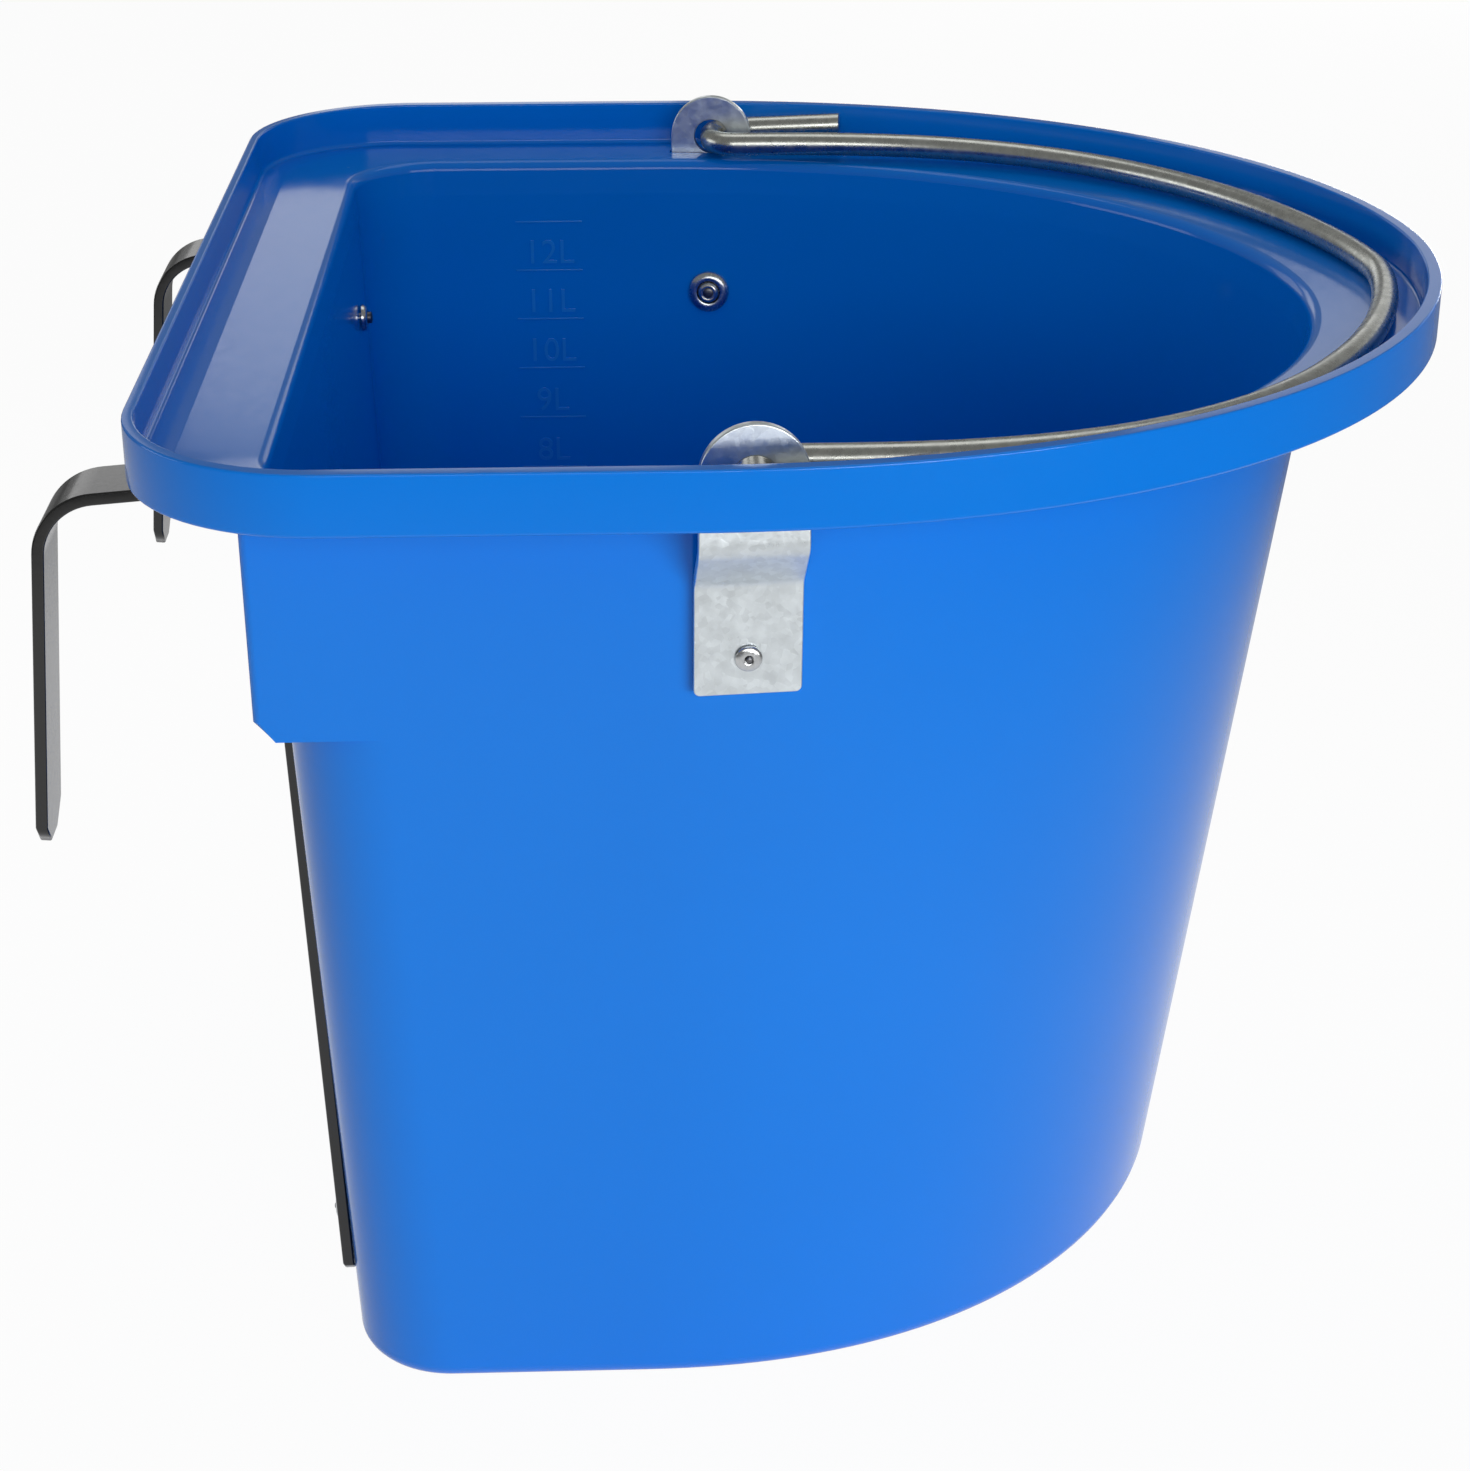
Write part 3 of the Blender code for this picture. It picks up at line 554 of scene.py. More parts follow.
def shoulder_levels():
    """The pockets inside the squared shoulder, its slanted foot and its outside."""
    low = SHOULDER_BOTTOM
    foot = low + SHOULDER_CHAMFER
    top = UNDER_LEDGE - UNDER_FILLET
    return [
        pocket_level(UNDER_LEDGE, wall_half(UNDER_LEDGE)),
        pocket_level(UNDER_LEDGE, shoulder_half(UNDER_LEDGE, skin=SHOULDER_SKIN)),
        pocket_level(low, shoulder_half(low, skin=SHOULDER_SKIN, chamfer=SHOULDER_CHAMFER)),
        both_halves(shoulder_half(low, chamfer=SHOULDER_CHAMFER), low),
        both_halves(shoulder_half(foot), foot),
        both_halves(shoulder_half(top), top),
    ]


def lip_levels():
    """Out under the ledge, up the skirt, over the lip and down to the top of the ledge."""
    levels = []
    shoulder_top = shoulder_half(UNDER_LEDGE)
    rim_low = rim_half(LIP_ROUNDING)
    for share, below in UNDER_LEDGE_STEPS:
        levels.append(both_halves(between(shoulder_top, rim_low, share), UNDER_LEDGE - below))
    skirt = LEDGE_TOP - LEDGE_THICKNESS - SKIRT_DROP
    for along, fall in quarter(SMALL_ARC):
        z = skirt + LIP_ROUNDING * fall
        levels.append(both_halves(rim_half(LIP_ROUNDING * (1 - along)), z))
    for along, fall in quarter(SMALL_ARC):
        z = HEIGHT - LIP_TOP_ROUNDING * (1 - along)
        levels.append(both_halves(rim_half(LIP_TOP_ROUNDING * fall), z))
    for along, fall in quarter(SMALL_ARC):
        z = HEIGHT - LIP_TOP_ROUNDING * fall
        levels.append(both_halves(lip_half(-LIP_TOP_ROUNDING * (1 - along)), z))
    for along, fall in quarter(SMALL_ARC):
        z = LEDGE_TOP + LIP_FILLET * (1 - along)
        levels.append(both_halves(lip_half(LIP_FILLET * fall), inner_heights(z, 0.0)))
    return levels


def inside_levels():
    """In over the ledge, round the mouth, down the inside of the wall and on to the floor."""
    levels = []
    foot = lip_half(LIP_FILLET)
    edge = wall_half(LEDGE_EDGE, WALL - MOUTH_ROUNDING - MOUTH_FLARE)
    for share in LEDGE_SHARES:
        fall = max(share - FLAT_STRIP_SHARE, 0.0) / (1 - FLAT_STRIP_SHARE)
        levels.append(both_halves(between(foot, edge, share), inner_heights(LEDGE_TOP, fall)))
    for along, fall in quarter(LARGE_ARC):
        z = LEDGE_EDGE - MOUTH_ROUNDING * fall
        inset = WALL - MOUTH_FLARE - MOUTH_ROUNDING * (1 - along)
        levels.append(both_halves(wall_half(z, inset), inner_heights(z + LEDGE_FALL, 1.0)))
    band = LEDGE_EDGE - MOUTH_BAND
    for below, step in MOUTH_BAND_STEPS:
        levels.append(both_halves(wall_half(band - below, WALL - step), band - below))
    for z in INSIDE_LEVELS:
        levels.append(both_halves(wall_half(z, WALL), z))
    for along, fall in quarter(LARGE_ARC):
        z = FLOOR + FLOOR_ROUNDING * (1 - along)
        levels.append(both_halves(wall_half(z, WALL + FLOOR_ROUNDING * fall), z))
    return levels


def block(low, high, matrix):
    """A block between two corners of its own frame, placed by the matrix."""
    start_clean()
    bpy.ops.mesh.primitive_cube_add(size=1.0)
    piece = name_piece("cutting_block")
    low, high = Vector(low), Vector(high)
    size = high - low
    shape = Matrix.Translation((low + high) / 2) @ Matrix.Diagonal((*size, 1.0))
    piece.data.transform(matrix @ shape)
    return piece


def ear_frame(way):
    """An ear's own frame: x along the wall, y outwards, z up, about its bail hole."""
    turn = -ear_turn() if way > 0 else math.pi + ear_turn()
    return Matrix.Translation((EAR_X, way * EAR_Y, AXIS_Z)) @ Matrix.Rotation(turn, 4, "Z")


def wall_half_width(x, z):
    """How far the outside of the wall stands from the middle plane."""
    back = wall_back(z)
    start = back + (wall_front(z) - back) * WALL_STRAIGHT
    share = min(max((x - start) / (wall_front(z) - start), 0.0), 1.0)
    return wall_side(z) * (1 - share**NOSE_LENGTH_POWER) ** (1 / NOSE_WIDTH_POWER)


def ear_turn():
    """How far an ear turns with the wall that it lies on."""
    z = AXIS_Z - EAR_BELOW
    ahead = wall_half_width(EAR_X + EAR_WIDTH / 2, z)
    behind = wall_half_width(EAR_X - EAR_WIDTH / 2, z)
    return math.atan2(behind - ahead, EAR_WIDTH)


def ear_wall(z):
    """The outside of the wall in an ear's own frame."""
    return (wall_half_width(EAR_X, z) - EAR_Y) * math.cos(ear_turn())


def moulded_bucket():
    """The skin of the bucket, from its underside over the lip to its floor, with a shallow
    channel for each hook and a slot for each ear."""
    levels = underside_levels() + shoulder_levels() + lip_levels() + inside_levels()
    bucket = lofted("moulded_bucket", levels)
    lean = Matrix.Rotation(-math.atan(BACK_DRAFT), 4, "Y")
    for way in (1, -1):
        place = Matrix.Translation((wall_back(CHANNEL_Z), way * HOOK_Y, CHANNEL_Z)) @ lean
        half = HOOK_WIDTH / 2 + SLOT_CLEARANCE
        low = (-CHANNEL_REACH, -half, -CHANNEL_DOWN)
        high = (-CHANNEL_PROUD, half, CHANNEL_UP)
        cut(bucket, block(low, high, place))
        half = EAR_WIDTH / 2 + SLOT_CLEARANCE
        thick = EAR_THICKNESS / 2 + SLOT_CLEARANCE
        low = (-half, -thick, -JOGGLE_START)
        high = (half, thick, AXIS_BELOW_RIM)
        cut(bucket, block(low, high, ear_frame(way)))
    return flatten_shading(smooth(bucket, degrees=28))


# Litre marks


def inside_area(z):
    """The free area inside the bucket at a height, from its outline."""
    half = wall_half(z, WALL)
    return sum((b[0] - a[0]) * (a[1] + b[1]) for a, b in zip(half, half[1:]))


def litre_heights():
    """The height of each litre line, from the top one downwards."""
    height = TOP_LITRE_Z
    heights = {TOP_LITRE: height}
    for litres in range(TOP_LITRE - 1, 0, -1):
        height -= LITRE_VOLUME / inside_area(height - HALF_LITRE_STEP)
        heights[litres] = height
    return heights


def wall_frame(x, z):
    """A place on the inside of the far wall: x to the right, y up the wall, z out of it."""
    lean = math.atan(SIDE_DRAFT)
    up, out = math.sin(lean), math.cos(lean)
    turned_in = Matrix(((1, 0, 0), (0, up, -out), (0, out, up)))
    return Matrix.Translation((x, wall_side(z) - WALL, z)) @ turned_in.to_4x4()


def litre_line(name, height):
    """A raised line with sloping sides, its back just under the skin of the wall."""
    low = (-MARK_LENGTH / 2, -MARK_WIDTH / 2, -MARK_SUNK)
    high = (MARK_LENGTH / 2, MARK_WIDTH / 2, MARK_RAISED)
    piece = block(low, high, Matrix.Identity(4))
    piece.name = name
    piece.data.name = name
    break_edges(piece, 0.1 * MM, degrees=40, segments=2)
    piece.data.transform(wall_frame(MARK_X, height))
    return smooth(piece, degrees=60)


def litre_label(name, words, height):
    """Plain raised figures that stand on their line."""
    start_clean()
    bpy.ops.object.text_add()
    figures = name_piece(name)
    figures.data.body = words
    figures.data.align_x = "CENTER"
    figures.data.size = DIGIT_HEIGHT / DIGIT_SHARE
    figures.data.extrude = FIGURE_RAISED
    figures.data.resolution_u = 4
    take(figures)
    bpy.ops.object.convert(target="MESH")
    piece = name_piece(name)
    piece.data.transform(wall_frame(MARK_X, height + FIGURE_LIFT))
    return smooth(weld(piece), degrees=30)


def litre_marks():
    """A line for each litre, and its figures except on the top one."""
    pieces = []
    for litres, height in litre_heights().items():
        pieces.append(litre_line(f"litre_line_{litres}", height))
        if litres < TOP_LITRE:
            pieces.append(litre_label(f"litre_figures_{litres}", f"{litres}L", height))
    return pieces


# Bent strips


def bend_line(corners, radii, steps=10):
    """A flat open line through the corners with each inner one rounded."""
    corners = [Vector(corner) for corner in corners]
    line = [corners[0]]
    for before, corner, after, radius in zip(corners, corners[1:], corners[2:], radii):
        back = (before - corner).normalized()
        ahead = (after - corner).normalized()
        half = back.angle(ahead) / 2
        centre = corner + (back + ahead).normalized() * (radius / math.sin(half))
        start = corner + back * (radius / math.tan(half)) - centre
        end = corner + ahead * (radius / math.tan(half)) - centre
        sweep = start.angle(end)
        for step in range(steps + 1):
            share = step / steps
            turned = start * math.sin(sweep * (1 - share)) + end * math.sin(sweep * share)
            line.append(centre + turned / math.sin(sweep))
    return line + [corners[-1]]


def thicken(piece, thickness):
    """Gives a bent sheet its thickness, half on each side."""
    modifier = piece.modifiers.new("thick", "SOLIDIFY")
    modifier.thickness = thickness
    modifier.offset = 0
    modifier.use_even_offset = True
    return apply_modifiers(piece)


def strip_y(line, z):
    """How far out a strip's middle line stands at a height."""
    for upper, lower in zip(line, line[1:]):
        if lower.y <= z <= upper.y:
            share = (upper.y - z) / (upper.y - lower.y)
            return upper.x + (lower.x - upper.x) * share
    return line[-1].x


def ear_strap():
    """One ear about its bail hole: a strip with a round head, joggled in to the wall."""
    start_clean()
    bpy.ops.mesh.primitive_circle_add(
        vertices=96, radius=EAR_WIDTH / 2, fill_type="NGON", rotation=(math.pi / 2, 0, 0)
    )
    strap = settle(name_piece("ear_strap"))
    edit_mesh(strap)
    bpy.ops.mesh.select_all(action="SELECT")
    bpy.ops.mesh.bisect(plane_co=(0, 0, 0), plane_no=(0, 0, 1), clear_inner=True)
    pick(strap, "edges", lambda edge: all(abs(end.co.z) < HAIR for end in edge.verts))
    bpy.ops.mesh.extrude_region_move(TRANSFORM_OT_translate={"value": (0, 0, -EAR_BELOW)})
    pick(strap, "verts", lambda point: point.co.z < -EAR_BELOW + HAIR)
    bpy.ops.mesh.bevel(offset=EAR_CORNER, segments=5, affect="VERTICES")
    for below in EAR_CUTS:
        bpy.ops.mesh.select_all(action="SELECT")
        bpy.ops.mesh.bisect(plane_co=(0, 0, -below * MM), plane_no=(0, 0, 1))
    work = bmesh.from_edit_mesh(strap.data)
    seat = GAP + EAR_THICKNESS / 2
    ends = [AXIS_Z - JOGGLE_END, AXIS_Z - EAR_BELOW - EAR_WIDTH]
    corners = [(0, EAR_WIDTH), (0, -JOGGLE_START)]
    corners += [(ear_wall(z) + seat, z - AXIS_Z) for z in ends]
    line = bend_line(corners, (EAR_BEND, EAR_BEND))
    for point in work.verts:
        point.co.y = strip_y(line, point.co.z)
    show(strap)
    bpy.ops.object.mode_set(mode="OBJECT")
    weld(strap)
    thicken(strap, EAR_THICKNESS)
    start_clean()
    bpy.ops.mesh.primitive_cylinder_add(
        vertices=64, radius=EAR_HOLE / 2, depth=EAR_WIDTH, rotation=(math.pi / 2, 0, 0)
    )
    cut(strap, settle(name_piece("bail_hole")))
    break_edges(strap, 0.35 * MM, degrees=50, segments=2)
    return flatten_shading(smooth(strap, degrees=50))


def hook_leg(z):
    """Where the middle of the bar lies behind the wall."""
    return wall_back(z) - (GAP + HOOK_THICKNESS / 2) / math.cos(math.atan(BACK_DRAFT))


def hook_line():
    """The middle of the bar from its foot on the wall, over the arm, to its free tip."""
    bend_x = hook_leg(HOOK_BEND_Z) - HOOK_REACH
    arm_z = HOOK_BEND_Z + HOOK_ARM_SLOPE * (hook_leg(HOOK_BEND_Z) - bend_x)
    corners = [
        (hook_leg(HOOK_FOOT), HOOK_FOOT),
        (hook_leg(arm_z), arm_z),
        (bend_x, HOOK_BEND_Z),
        (bend_x - HOOK_FLARE * (HOOK_BEND_Z - HOOK_TIP_Z), HOOK_TIP_Z),
    ]
    return bend_line(corners, HOOK_BENDS, steps=16)


def hook_bar():
    """One hook on the middle plane: a strip extruded along its bends, then thickened."""
    line = hook_line()
    start_clean()
    bpy.ops.mesh.primitive_plane_add(size=HOOK_WIDTH)
    bar = name_piece("hook_bar")
    work = edit_mesh(bar)
    for point in work.verts:
        end = line[0] if point.co.x > 0 else line[1]
        point.co.x, point.co.z = end.x, end.y
    show(bar)
    pick(bar, "edges", lambda edge: all(abs(end.co.z - line[1].y) < HAIR for end in edge.verts))
    for before, after in zip(line[1:], line[2:]):
        step = after - before
        bpy.ops.mesh.extrude_region_move(TRANSFORM_OT_translate={"value": (step.x, 0, step.y)})
    bpy.ops.mesh.bevel(offset=HOOK_TIP_CHAMFER, segments=1, affect="VERTICES")
    pick(bar, "verts", lambda point: point.co.z < line[0].y + HAIR)
    bpy.ops.mesh.bevel(offset=HOOK_FOOT_CHAMFER, segments=1, affect="VERTICES")
    bpy.ops.object.mode_set(mode="OBJECT")
    weld(bar)
    thicken(bar, HOOK_THICKNESS)
    break_edges(bar, 0.5 * MM, degrees=50)
    return flatten_shading(smooth(bar, degrees=50))


# Turned pieces


def ring(radius, z):
    """A round level of a turned piece."""
    turns = [2 * math.pi * step / RING_POINTS for step in range(RING_POINTS)]
    return [Vector((radius * math.cos(turn), radius * math.sin(turn), z)) for turn in turns]


def turned(name, profile):
    """A turned piece from radius and height in millimetres, from one cap to the other."""
    piece = lofted(name, [ring(radius * MM, z * MM) for radius, z in profile])
    return smooth(piece, degrees=35)


def rivet(name, outside, inside, bulb_radius, bulb_height):
    """A blind rivet: domed head outside the strap, rolled bulb inside the wall, sizes in mm."""
    profile = [(BORE_RADIUS, outside + 0.35), (BORE_RADIUS, outside + 1.0), (1.2, outside + 1.1)]
    for along, fall in quarter(8):
        profile.append((1.5 + 1.7 * along, outside + 0.25 + 0.87 * (1 - fall)))
    profile += [(HEAD_RADIUS, outside + 0.1), (HEAD_RADIUS - 0.1, outside), (TUBE_RADIUS, outside)]
    profile += [(TUBE_RADIUS, -inside), (bulb_radius - 0.4, -inside)]
    for along, fall in quarter(8):
        depth = 0.3 + (bulb_height - 0.45) * along
        profile.append((bulb_radius * (1 - 0.25 * fall), -inside - depth))
    end = -inside - bulb_height
    profile += [(bulb_radius * 0.75 - 0.2, end), (2.3, end), (2.05, end + 0.12), (2.05, end + 0.6)]
    return turned(name, profile)


def mandrel(name, outside, inside, length):
    """The broken mandrel: a torn stub in the head, and its own head in the bulb, in mm."""
    stub = [(0.35, outside + 1.5), (0.62, outside + 1.42), (0.8, outside + 1.15)]
    shank = [(MANDREL_RADIUS, outside + 0.8), (MANDREL_RADIUS, -inside - 0.4)]
    end = -inside - length
    head = [(1.75, -inside - 0.6), (1.78, end + 0.4), (1.5, end + 0.15), (0.8, end)]
    return turned(name, stub + shank + head)


def washer(name, inside):
    """A domed washer round the bulb of its rivet, its seat on the wall, in mm."""
    section = [(WASHER_BORE, 0.25), (2.2, 0.02), (6.0, 0.0), (6.35, 0.15)]
    for along, fall in quarter(6):
        section.append((4.2 + 2.25 * (1 - fall), 0.4 + 1.5 * along))
    section += [(3.7, 1.75), (3.4, 1.35), (3.3, WASHER_SEAT), (2.4, WASHER_SEAT), (2.0, 0.85)]
    section += [(WASHER_BORE, 0.5)]
    piece = lofted(name, [ring(radius * MM, (-inside - depth) * MM) for radius, depth in section])
    edit_mesh(piece)
    pick(piece, "faces", lambda face: len(face.verts) > 4)
    bpy.ops.mesh.delete(type="ONLY_FACE")
    pick(piece, "edges", lambda edge: edge.is_boundary)
    bpy.ops.mesh.bridge_edge_loops()
    bpy.ops.object.mode_set(mode="OBJECT")
    return smooth(weld(piece), degrees=35)


def ear_rivet_frame():
    """An ear rivet's place in the ear's own frame, its z outwards from the wall."""
    z = AXIS_Z - EAR_BELOW + EAR_RIVET_UP
    lean = math.atan(SIDE_DRAFT)
    place = Matrix.Translation((0, ear_wall(z), z - AXIS_Z))
    return place @ Matrix.Rotation(-math.pi / 2 - lean, 4, "X")


def hook_rivet_frame(z):
    """A hook rivet's place on the back wall's middle, its z outwards from the wall."""
    lean = math.atan(BACK_DRAFT)
    return Matrix.Translation((wall_back(z), 0, z)) @ Matrix.Rotation(-math.pi / 2 - lean, 4, "Y")


# Bail


def bail_fall(tip_x):
    """How fast the bail falls from its axis to rest with its tip on the ledge at the nose."""
    foot = RIM_FRONT - NOSE_LIP - LIP_FOOT
    edge = wall_front(HEIGHT) - WALL + MOUTH_ROUNDING
    slope = LEDGE_FALL / (foot - edge)
    above = (WIRE / 2 + GAP) * math.hypot(1, slope)
    rest = LEDGE_TOP - slope * (foot - tip_x) + above
    return (rest - AXIS_Z) / (tip_x - EAR_X)


def eased(line, start_x):
    """The line with its points beyond start_x moved towards their neighbours."""
    for _ in range(NOSE_EASING):
        fair = [(a + b * 2 + c) / 4 for a, b, c in zip(line, line[1:], line[2:])]
        fair = [line[0], *fair, line[-1]]
        line = [new if old.x > start_x else old for old, new in zip(line, fair)]
    return line


def bail_line():
    """The middle of the wire at rest, from one tail, over the nose, to the other tail."""
    tail_y = EAR_Y + TAIL_FROM_EAR
    leg_y = EAR_Y - LEG_FROM_EAR
    tip_x = RIM_FRONT - NOSE_LIP - BAIL_INSIDE_LIP
    reach = tip_x - EAR_X
    fall = bail_fall(tip_x)
    tail_end = (TAIL_LENGTH, tail_y - TAIL_TOE_IN * TAIL_LENGTH)
    corners = [tail_end, (0, tail_y), (0, leg_y), (BAIL_STRAIGHT, leg_y)]
    half = []
    for point in bend_line(corners, (BAIL_BEND, BAIL_BEND), steps=12):
        rate = TAIL_RISE / TAIL_LENGTH if point.y > (tail_y + leg_y) / 2 else fall
        half.append((point.x, point.y, rate * point.x))
    for step in range(1, BAIL_STEPS + 1):
        turn = math.pi / 2 * step / BAIL_STEPS
        along = math.sin(turn) ** (2 / BAIL_LENGTH_POWER)
        x = BAIL_STRAIGHT + (reach - BAIL_STRAIGHT) * along
        y = leg_y * max(math.cos(turn), 0.0) ** (2 / BAIL_WIDTH_POWER)
        half.append((x, y, fall * x))
    half[-1] = (reach, 0.0, fall * reach)
    line = half + [(x, -y, z) for x, y, z in half[-2::-1]]
    line = [Vector((EAR_X + x, y, AXIS_Z + z)) for x, y, z in line]
    return eased(line, EAR_X + reach * NOSE_EASING_START)


def bail_wire():
    """The bail as a round wire along its line, with sawn ends that are slightly broken."""
    start_clean()
    bpy.ops.curve.primitive_bezier_curve_add()
    curve = name_piece("bail_wire")
    curve.data.splines.clear()
    line = bail_line()
    path = curve.data.splines.new("POLY")
    path.points.add(len(line) - 1)
    for spot, point in zip(path.points, line):
        spot.co = (*point, 1.0)
    path.use_smooth = True
    curve.data.dimensions = "3D"
    curve.data.bevel_depth = WIRE / 2
    curve.data.bevel_resolution = 8
    curve.data.use_fill_caps = True
    take(curve)
    bpy.ops.object.convert(target="MESH")
    wire = weld(name_piece("bail_wire"))
    break_edges(wire, 0.5 * MM, degrees=60)
    return smooth(wire, degrees=40)


# Finishes


def hex_colour(text):
    """An sRGB hex value as linear red, green and blue with full alpha."""
    channels = [int(text[i : i + 2], 16) / 255 for i in (0, 2, 4)]
    linear = [c / 12.92 if c <= 0.04045 else ((c + 0.055) / 1.055) ** 2.4 for c in channels]
    return (*linear, 1.0)


def finish_of(name):
    """A new material, named for what it is, and its Principled shader."""
    made = bpy.data.materials.new(name)
    made.use_nodes = True
    return made, made.node_tree.nodes["Principled BSDF"]


def connect(material, node, inputs):
    """Links or sets the inputs of a node."""
    for key, value in inputs.items():
        if isinstance(value, bpy.types.NodeSocket):
            material.node_tree.links.new(value, node.inputs[key])
        else:
            node.inputs[key].default_value = value


def add(material, kind, inputs, **settings):
    """Adds a node with its settings, and links or sets its inputs."""
    node = material.node_tree.nodes.new(kind)
    for key, value in settings.items():
        setattr(node, key, value)
    connect(material, node, inputs)
    return node


def darker(colour, share):
    """The colour with its red, green and blue times the share."""
    red, green, blue, alpha = colour
    return (red * share, green * share, blue * share, alpha)


def blue_polyethylene(name, blues):
    """Injection-moulded polyethylene: an even semi-gloss skin with a faint orange peel, soft
    tone changes from the flow of the melt, fine rubbed scratches and a few pale nicks."""
    made, shader = finish_of(name)
    place = add(made, "ShaderNodeTexCoord", {}).outputs["Object"]
    low, high = (hex_colour(blue) for blue in blues)

    # Flow of the melt, in patches about 70 mm across
    flow = add(made, "ShaderNodeTexNoise", {"Vector": place, "Scale": 14.0, "Detail": 3.0})
    tone = add(made, "ShaderNodeMix", {
        "Factor": flow.outputs["Fac"], "A": low, "B": high,
    }, data_type="RGBA")

    # Nicks about 2 mm across, in some of the cells of 38 mm
    cells = add(made, "ShaderNodeTexVoronoi", {"Vector": place, "Scale": 26.0})
    chance = add(made, "ShaderNodeSeparateColor", {"Color": cells.outputs["Color"]})
    nick = add(made, "ShaderNodeMapRange", {
        "Value": cells.outputs["Distance"],
        "From Min": 0.022, "From Max": 0.03, "To Min": 1.0, "To Max": 0.0,
    })
    chosen = add(made, "ShaderNodeMath", {
        0: chance.outputs["Red"], 1: 0.72,
    }, operation="GREATER_THAN")
    few = add(made, "ShaderNodeMath", {
        0: nick.outputs["Result"], 1: chosen.outputs["Value"],
    }, operation="MULTIPLY")
    worn = add(made, "ShaderNodeMix", {
        "Factor": few.outputs["Value"], "A": tone.outputs["Result"], "B": hex_colour(NICK_BLUE),
    }, data_type="RGBA")

    # Rubbed scratches about 6 mm long and 0.5 mm wide
    stretched = add(made, "ShaderNodeMapping", {
        "Vector": place, "Rotation": (0.4, 0.3, 0.5), "Scale": (1.0, 1.0, 14.0),
    })
    rubbed = add(made, "ShaderNodeTexNoise", {
        "Vector": stretched.outputs["Vector"], "Scale": 160.0, "Detail": 3.0, "Roughness": 0.7,
    })
    gloss = add(made, "ShaderNodeMapRange", {
        "Value": rubbed.outputs["Fac"],
        "From Min": 0.3, "From Max": 0.75, "To Min": 0.10, "To Max": 0.16,
    })

    # Orange peel about 1 mm across, and sink marks about 45 mm across
    grain = add(made, "ShaderNodeTexNoise", {"Vector": place, "Scale": 900.0, "Detail": 2.0})
    peel = add(made, "ShaderNodeBump", {
        "Height": grain.outputs["Fac"], "Strength": 0.02, "Distance": 0.1 * MM,
    })
    waves = add(made, "ShaderNodeTexNoise", {"Vector": place, "Scale": 22.0, "Detail": 1.0})
    sink = add(made, "ShaderNodeBump", {
        "Height": waves.outputs["Fac"], "Strength": 0.05, "Distance": 1 * MM,
        "Normal": peel.outputs["Normal"],
    })
    connect(made, shader, {
        "Base Color": worn.outputs["Result"],
        "Roughness": gloss.outputs["Result"],
        "Normal": sink.outputs["Normal"],
        "IOR": 1.40,
    })
    return made


def zinc_plate(name, tint, roughness, crystal, strength):
    """Bright zinc plate on steel: a pale metal clouded by small crystals, dull in patches."""
    made, shader = finish_of(name)
    place = add(made, "ShaderNodeTexCoord", {}).outputs["Object"]
    light = hex_colour(tint)
    smoothest, roughest = roughness

    # Clouds about 4 mm across; real crystals are too fine to show, so they are drawn larger
    clouds = add(made, "ShaderNodeTexNoise", {
        "Vector": place, "Scale": 240.0, "Detail": 5.0, "Roughness": 0.65,
    })
    crystals = add(made, "ShaderNodeTexVoronoi", {"Vector": place, "Scale": 1 / crystal})
    shade = add(made, "ShaderNodeSeparateColor", {"Color": crystals.outputs["Color"]})
    mixed = add(made, "ShaderNodeMix", {
        "Factor": 0.45, "A": clouds.outputs["Fac"], "B": shade.outputs["Red"],
    }, data_type="FLOAT")
    tone = add(made, "ShaderNodeMix", {
        "Factor": mixed.outputs["Result"], "A": darker(light, 0.74), "B": light,
    }, data_type="RGBA")
    gloss = add(made, "ShaderNodeMapRange", {
        "Value": clouds.outputs["Fac"],
        "From Min": 0.3, "From Max": 0.7, "To Min": smoothest, "To Max": roughest,
    })
    relief = add(made, "ShaderNodeBump", {
        "Height": mixed.outputs["Result"], "Strength": strength, "Distance": 0.1 * MM,
    })
    connect(made, shader, {
        "Base Color": tone.outputs["Result"],
        "Roughness": gloss.outputs["Result"],
        "Normal": relief.outputs["Normal"],
        "Metallic": 1.0,
    })
    return made


def black_enamel(name):
    """Black gloss enamel on bar steel: deep and wet-looking, with a slight orange peel and grit
    under the paint that also dulls it in places."""
    made, shader = finish_of(name)
    place = add(made, "ShaderNodeTexCoord", {}).outputs["Object"]
    low, high = (hex_colour(black) for black in ENAMEL_BLACKS)

    # Peel about 2.4 mm across, and grit about 0.7 mm, which is coarser than real so that it shows
    peel = add(made, "ShaderNodeTexNoise", {"Vector": place, "Scale": 420.0, "Detail": 2.0})
    grit = add(made, "ShaderNodeTexNoise", {
        "Vector": place, "Scale": 1500.0, "Detail": 4.0, "Roughness": 0.7,
    })
    tone = add(made, "ShaderNodeMix", {
        "Factor": grit.outputs["Fac"], "A": low, "B": high,
    }, data_type="RGBA")
    gloss = add(made, "ShaderNodeMapRange", {
        "Value": grit.outputs["Fac"],
        "From Min": 0.35, "From Max": 0.7, "To Min": 0.12, "To Max": 0.24,
    })
    skin = add(made, "ShaderNodeBump", {
        "Height": peel.outputs["Fac"], "Strength": 0.15, "Distance": 0.2 * MM,
    })
    connect(made, shader, {
        "Base Color": tone.outputs["Result"],
        "Roughness": gloss.outputs["Result"],
        "Normal": skin.outputs["Normal"],
        "IOR": 1.52,
        "Coat Weight": 0.3,
        "Coat Roughness": 0.08,
        "Coat IOR": 1.5,
    })
    return made


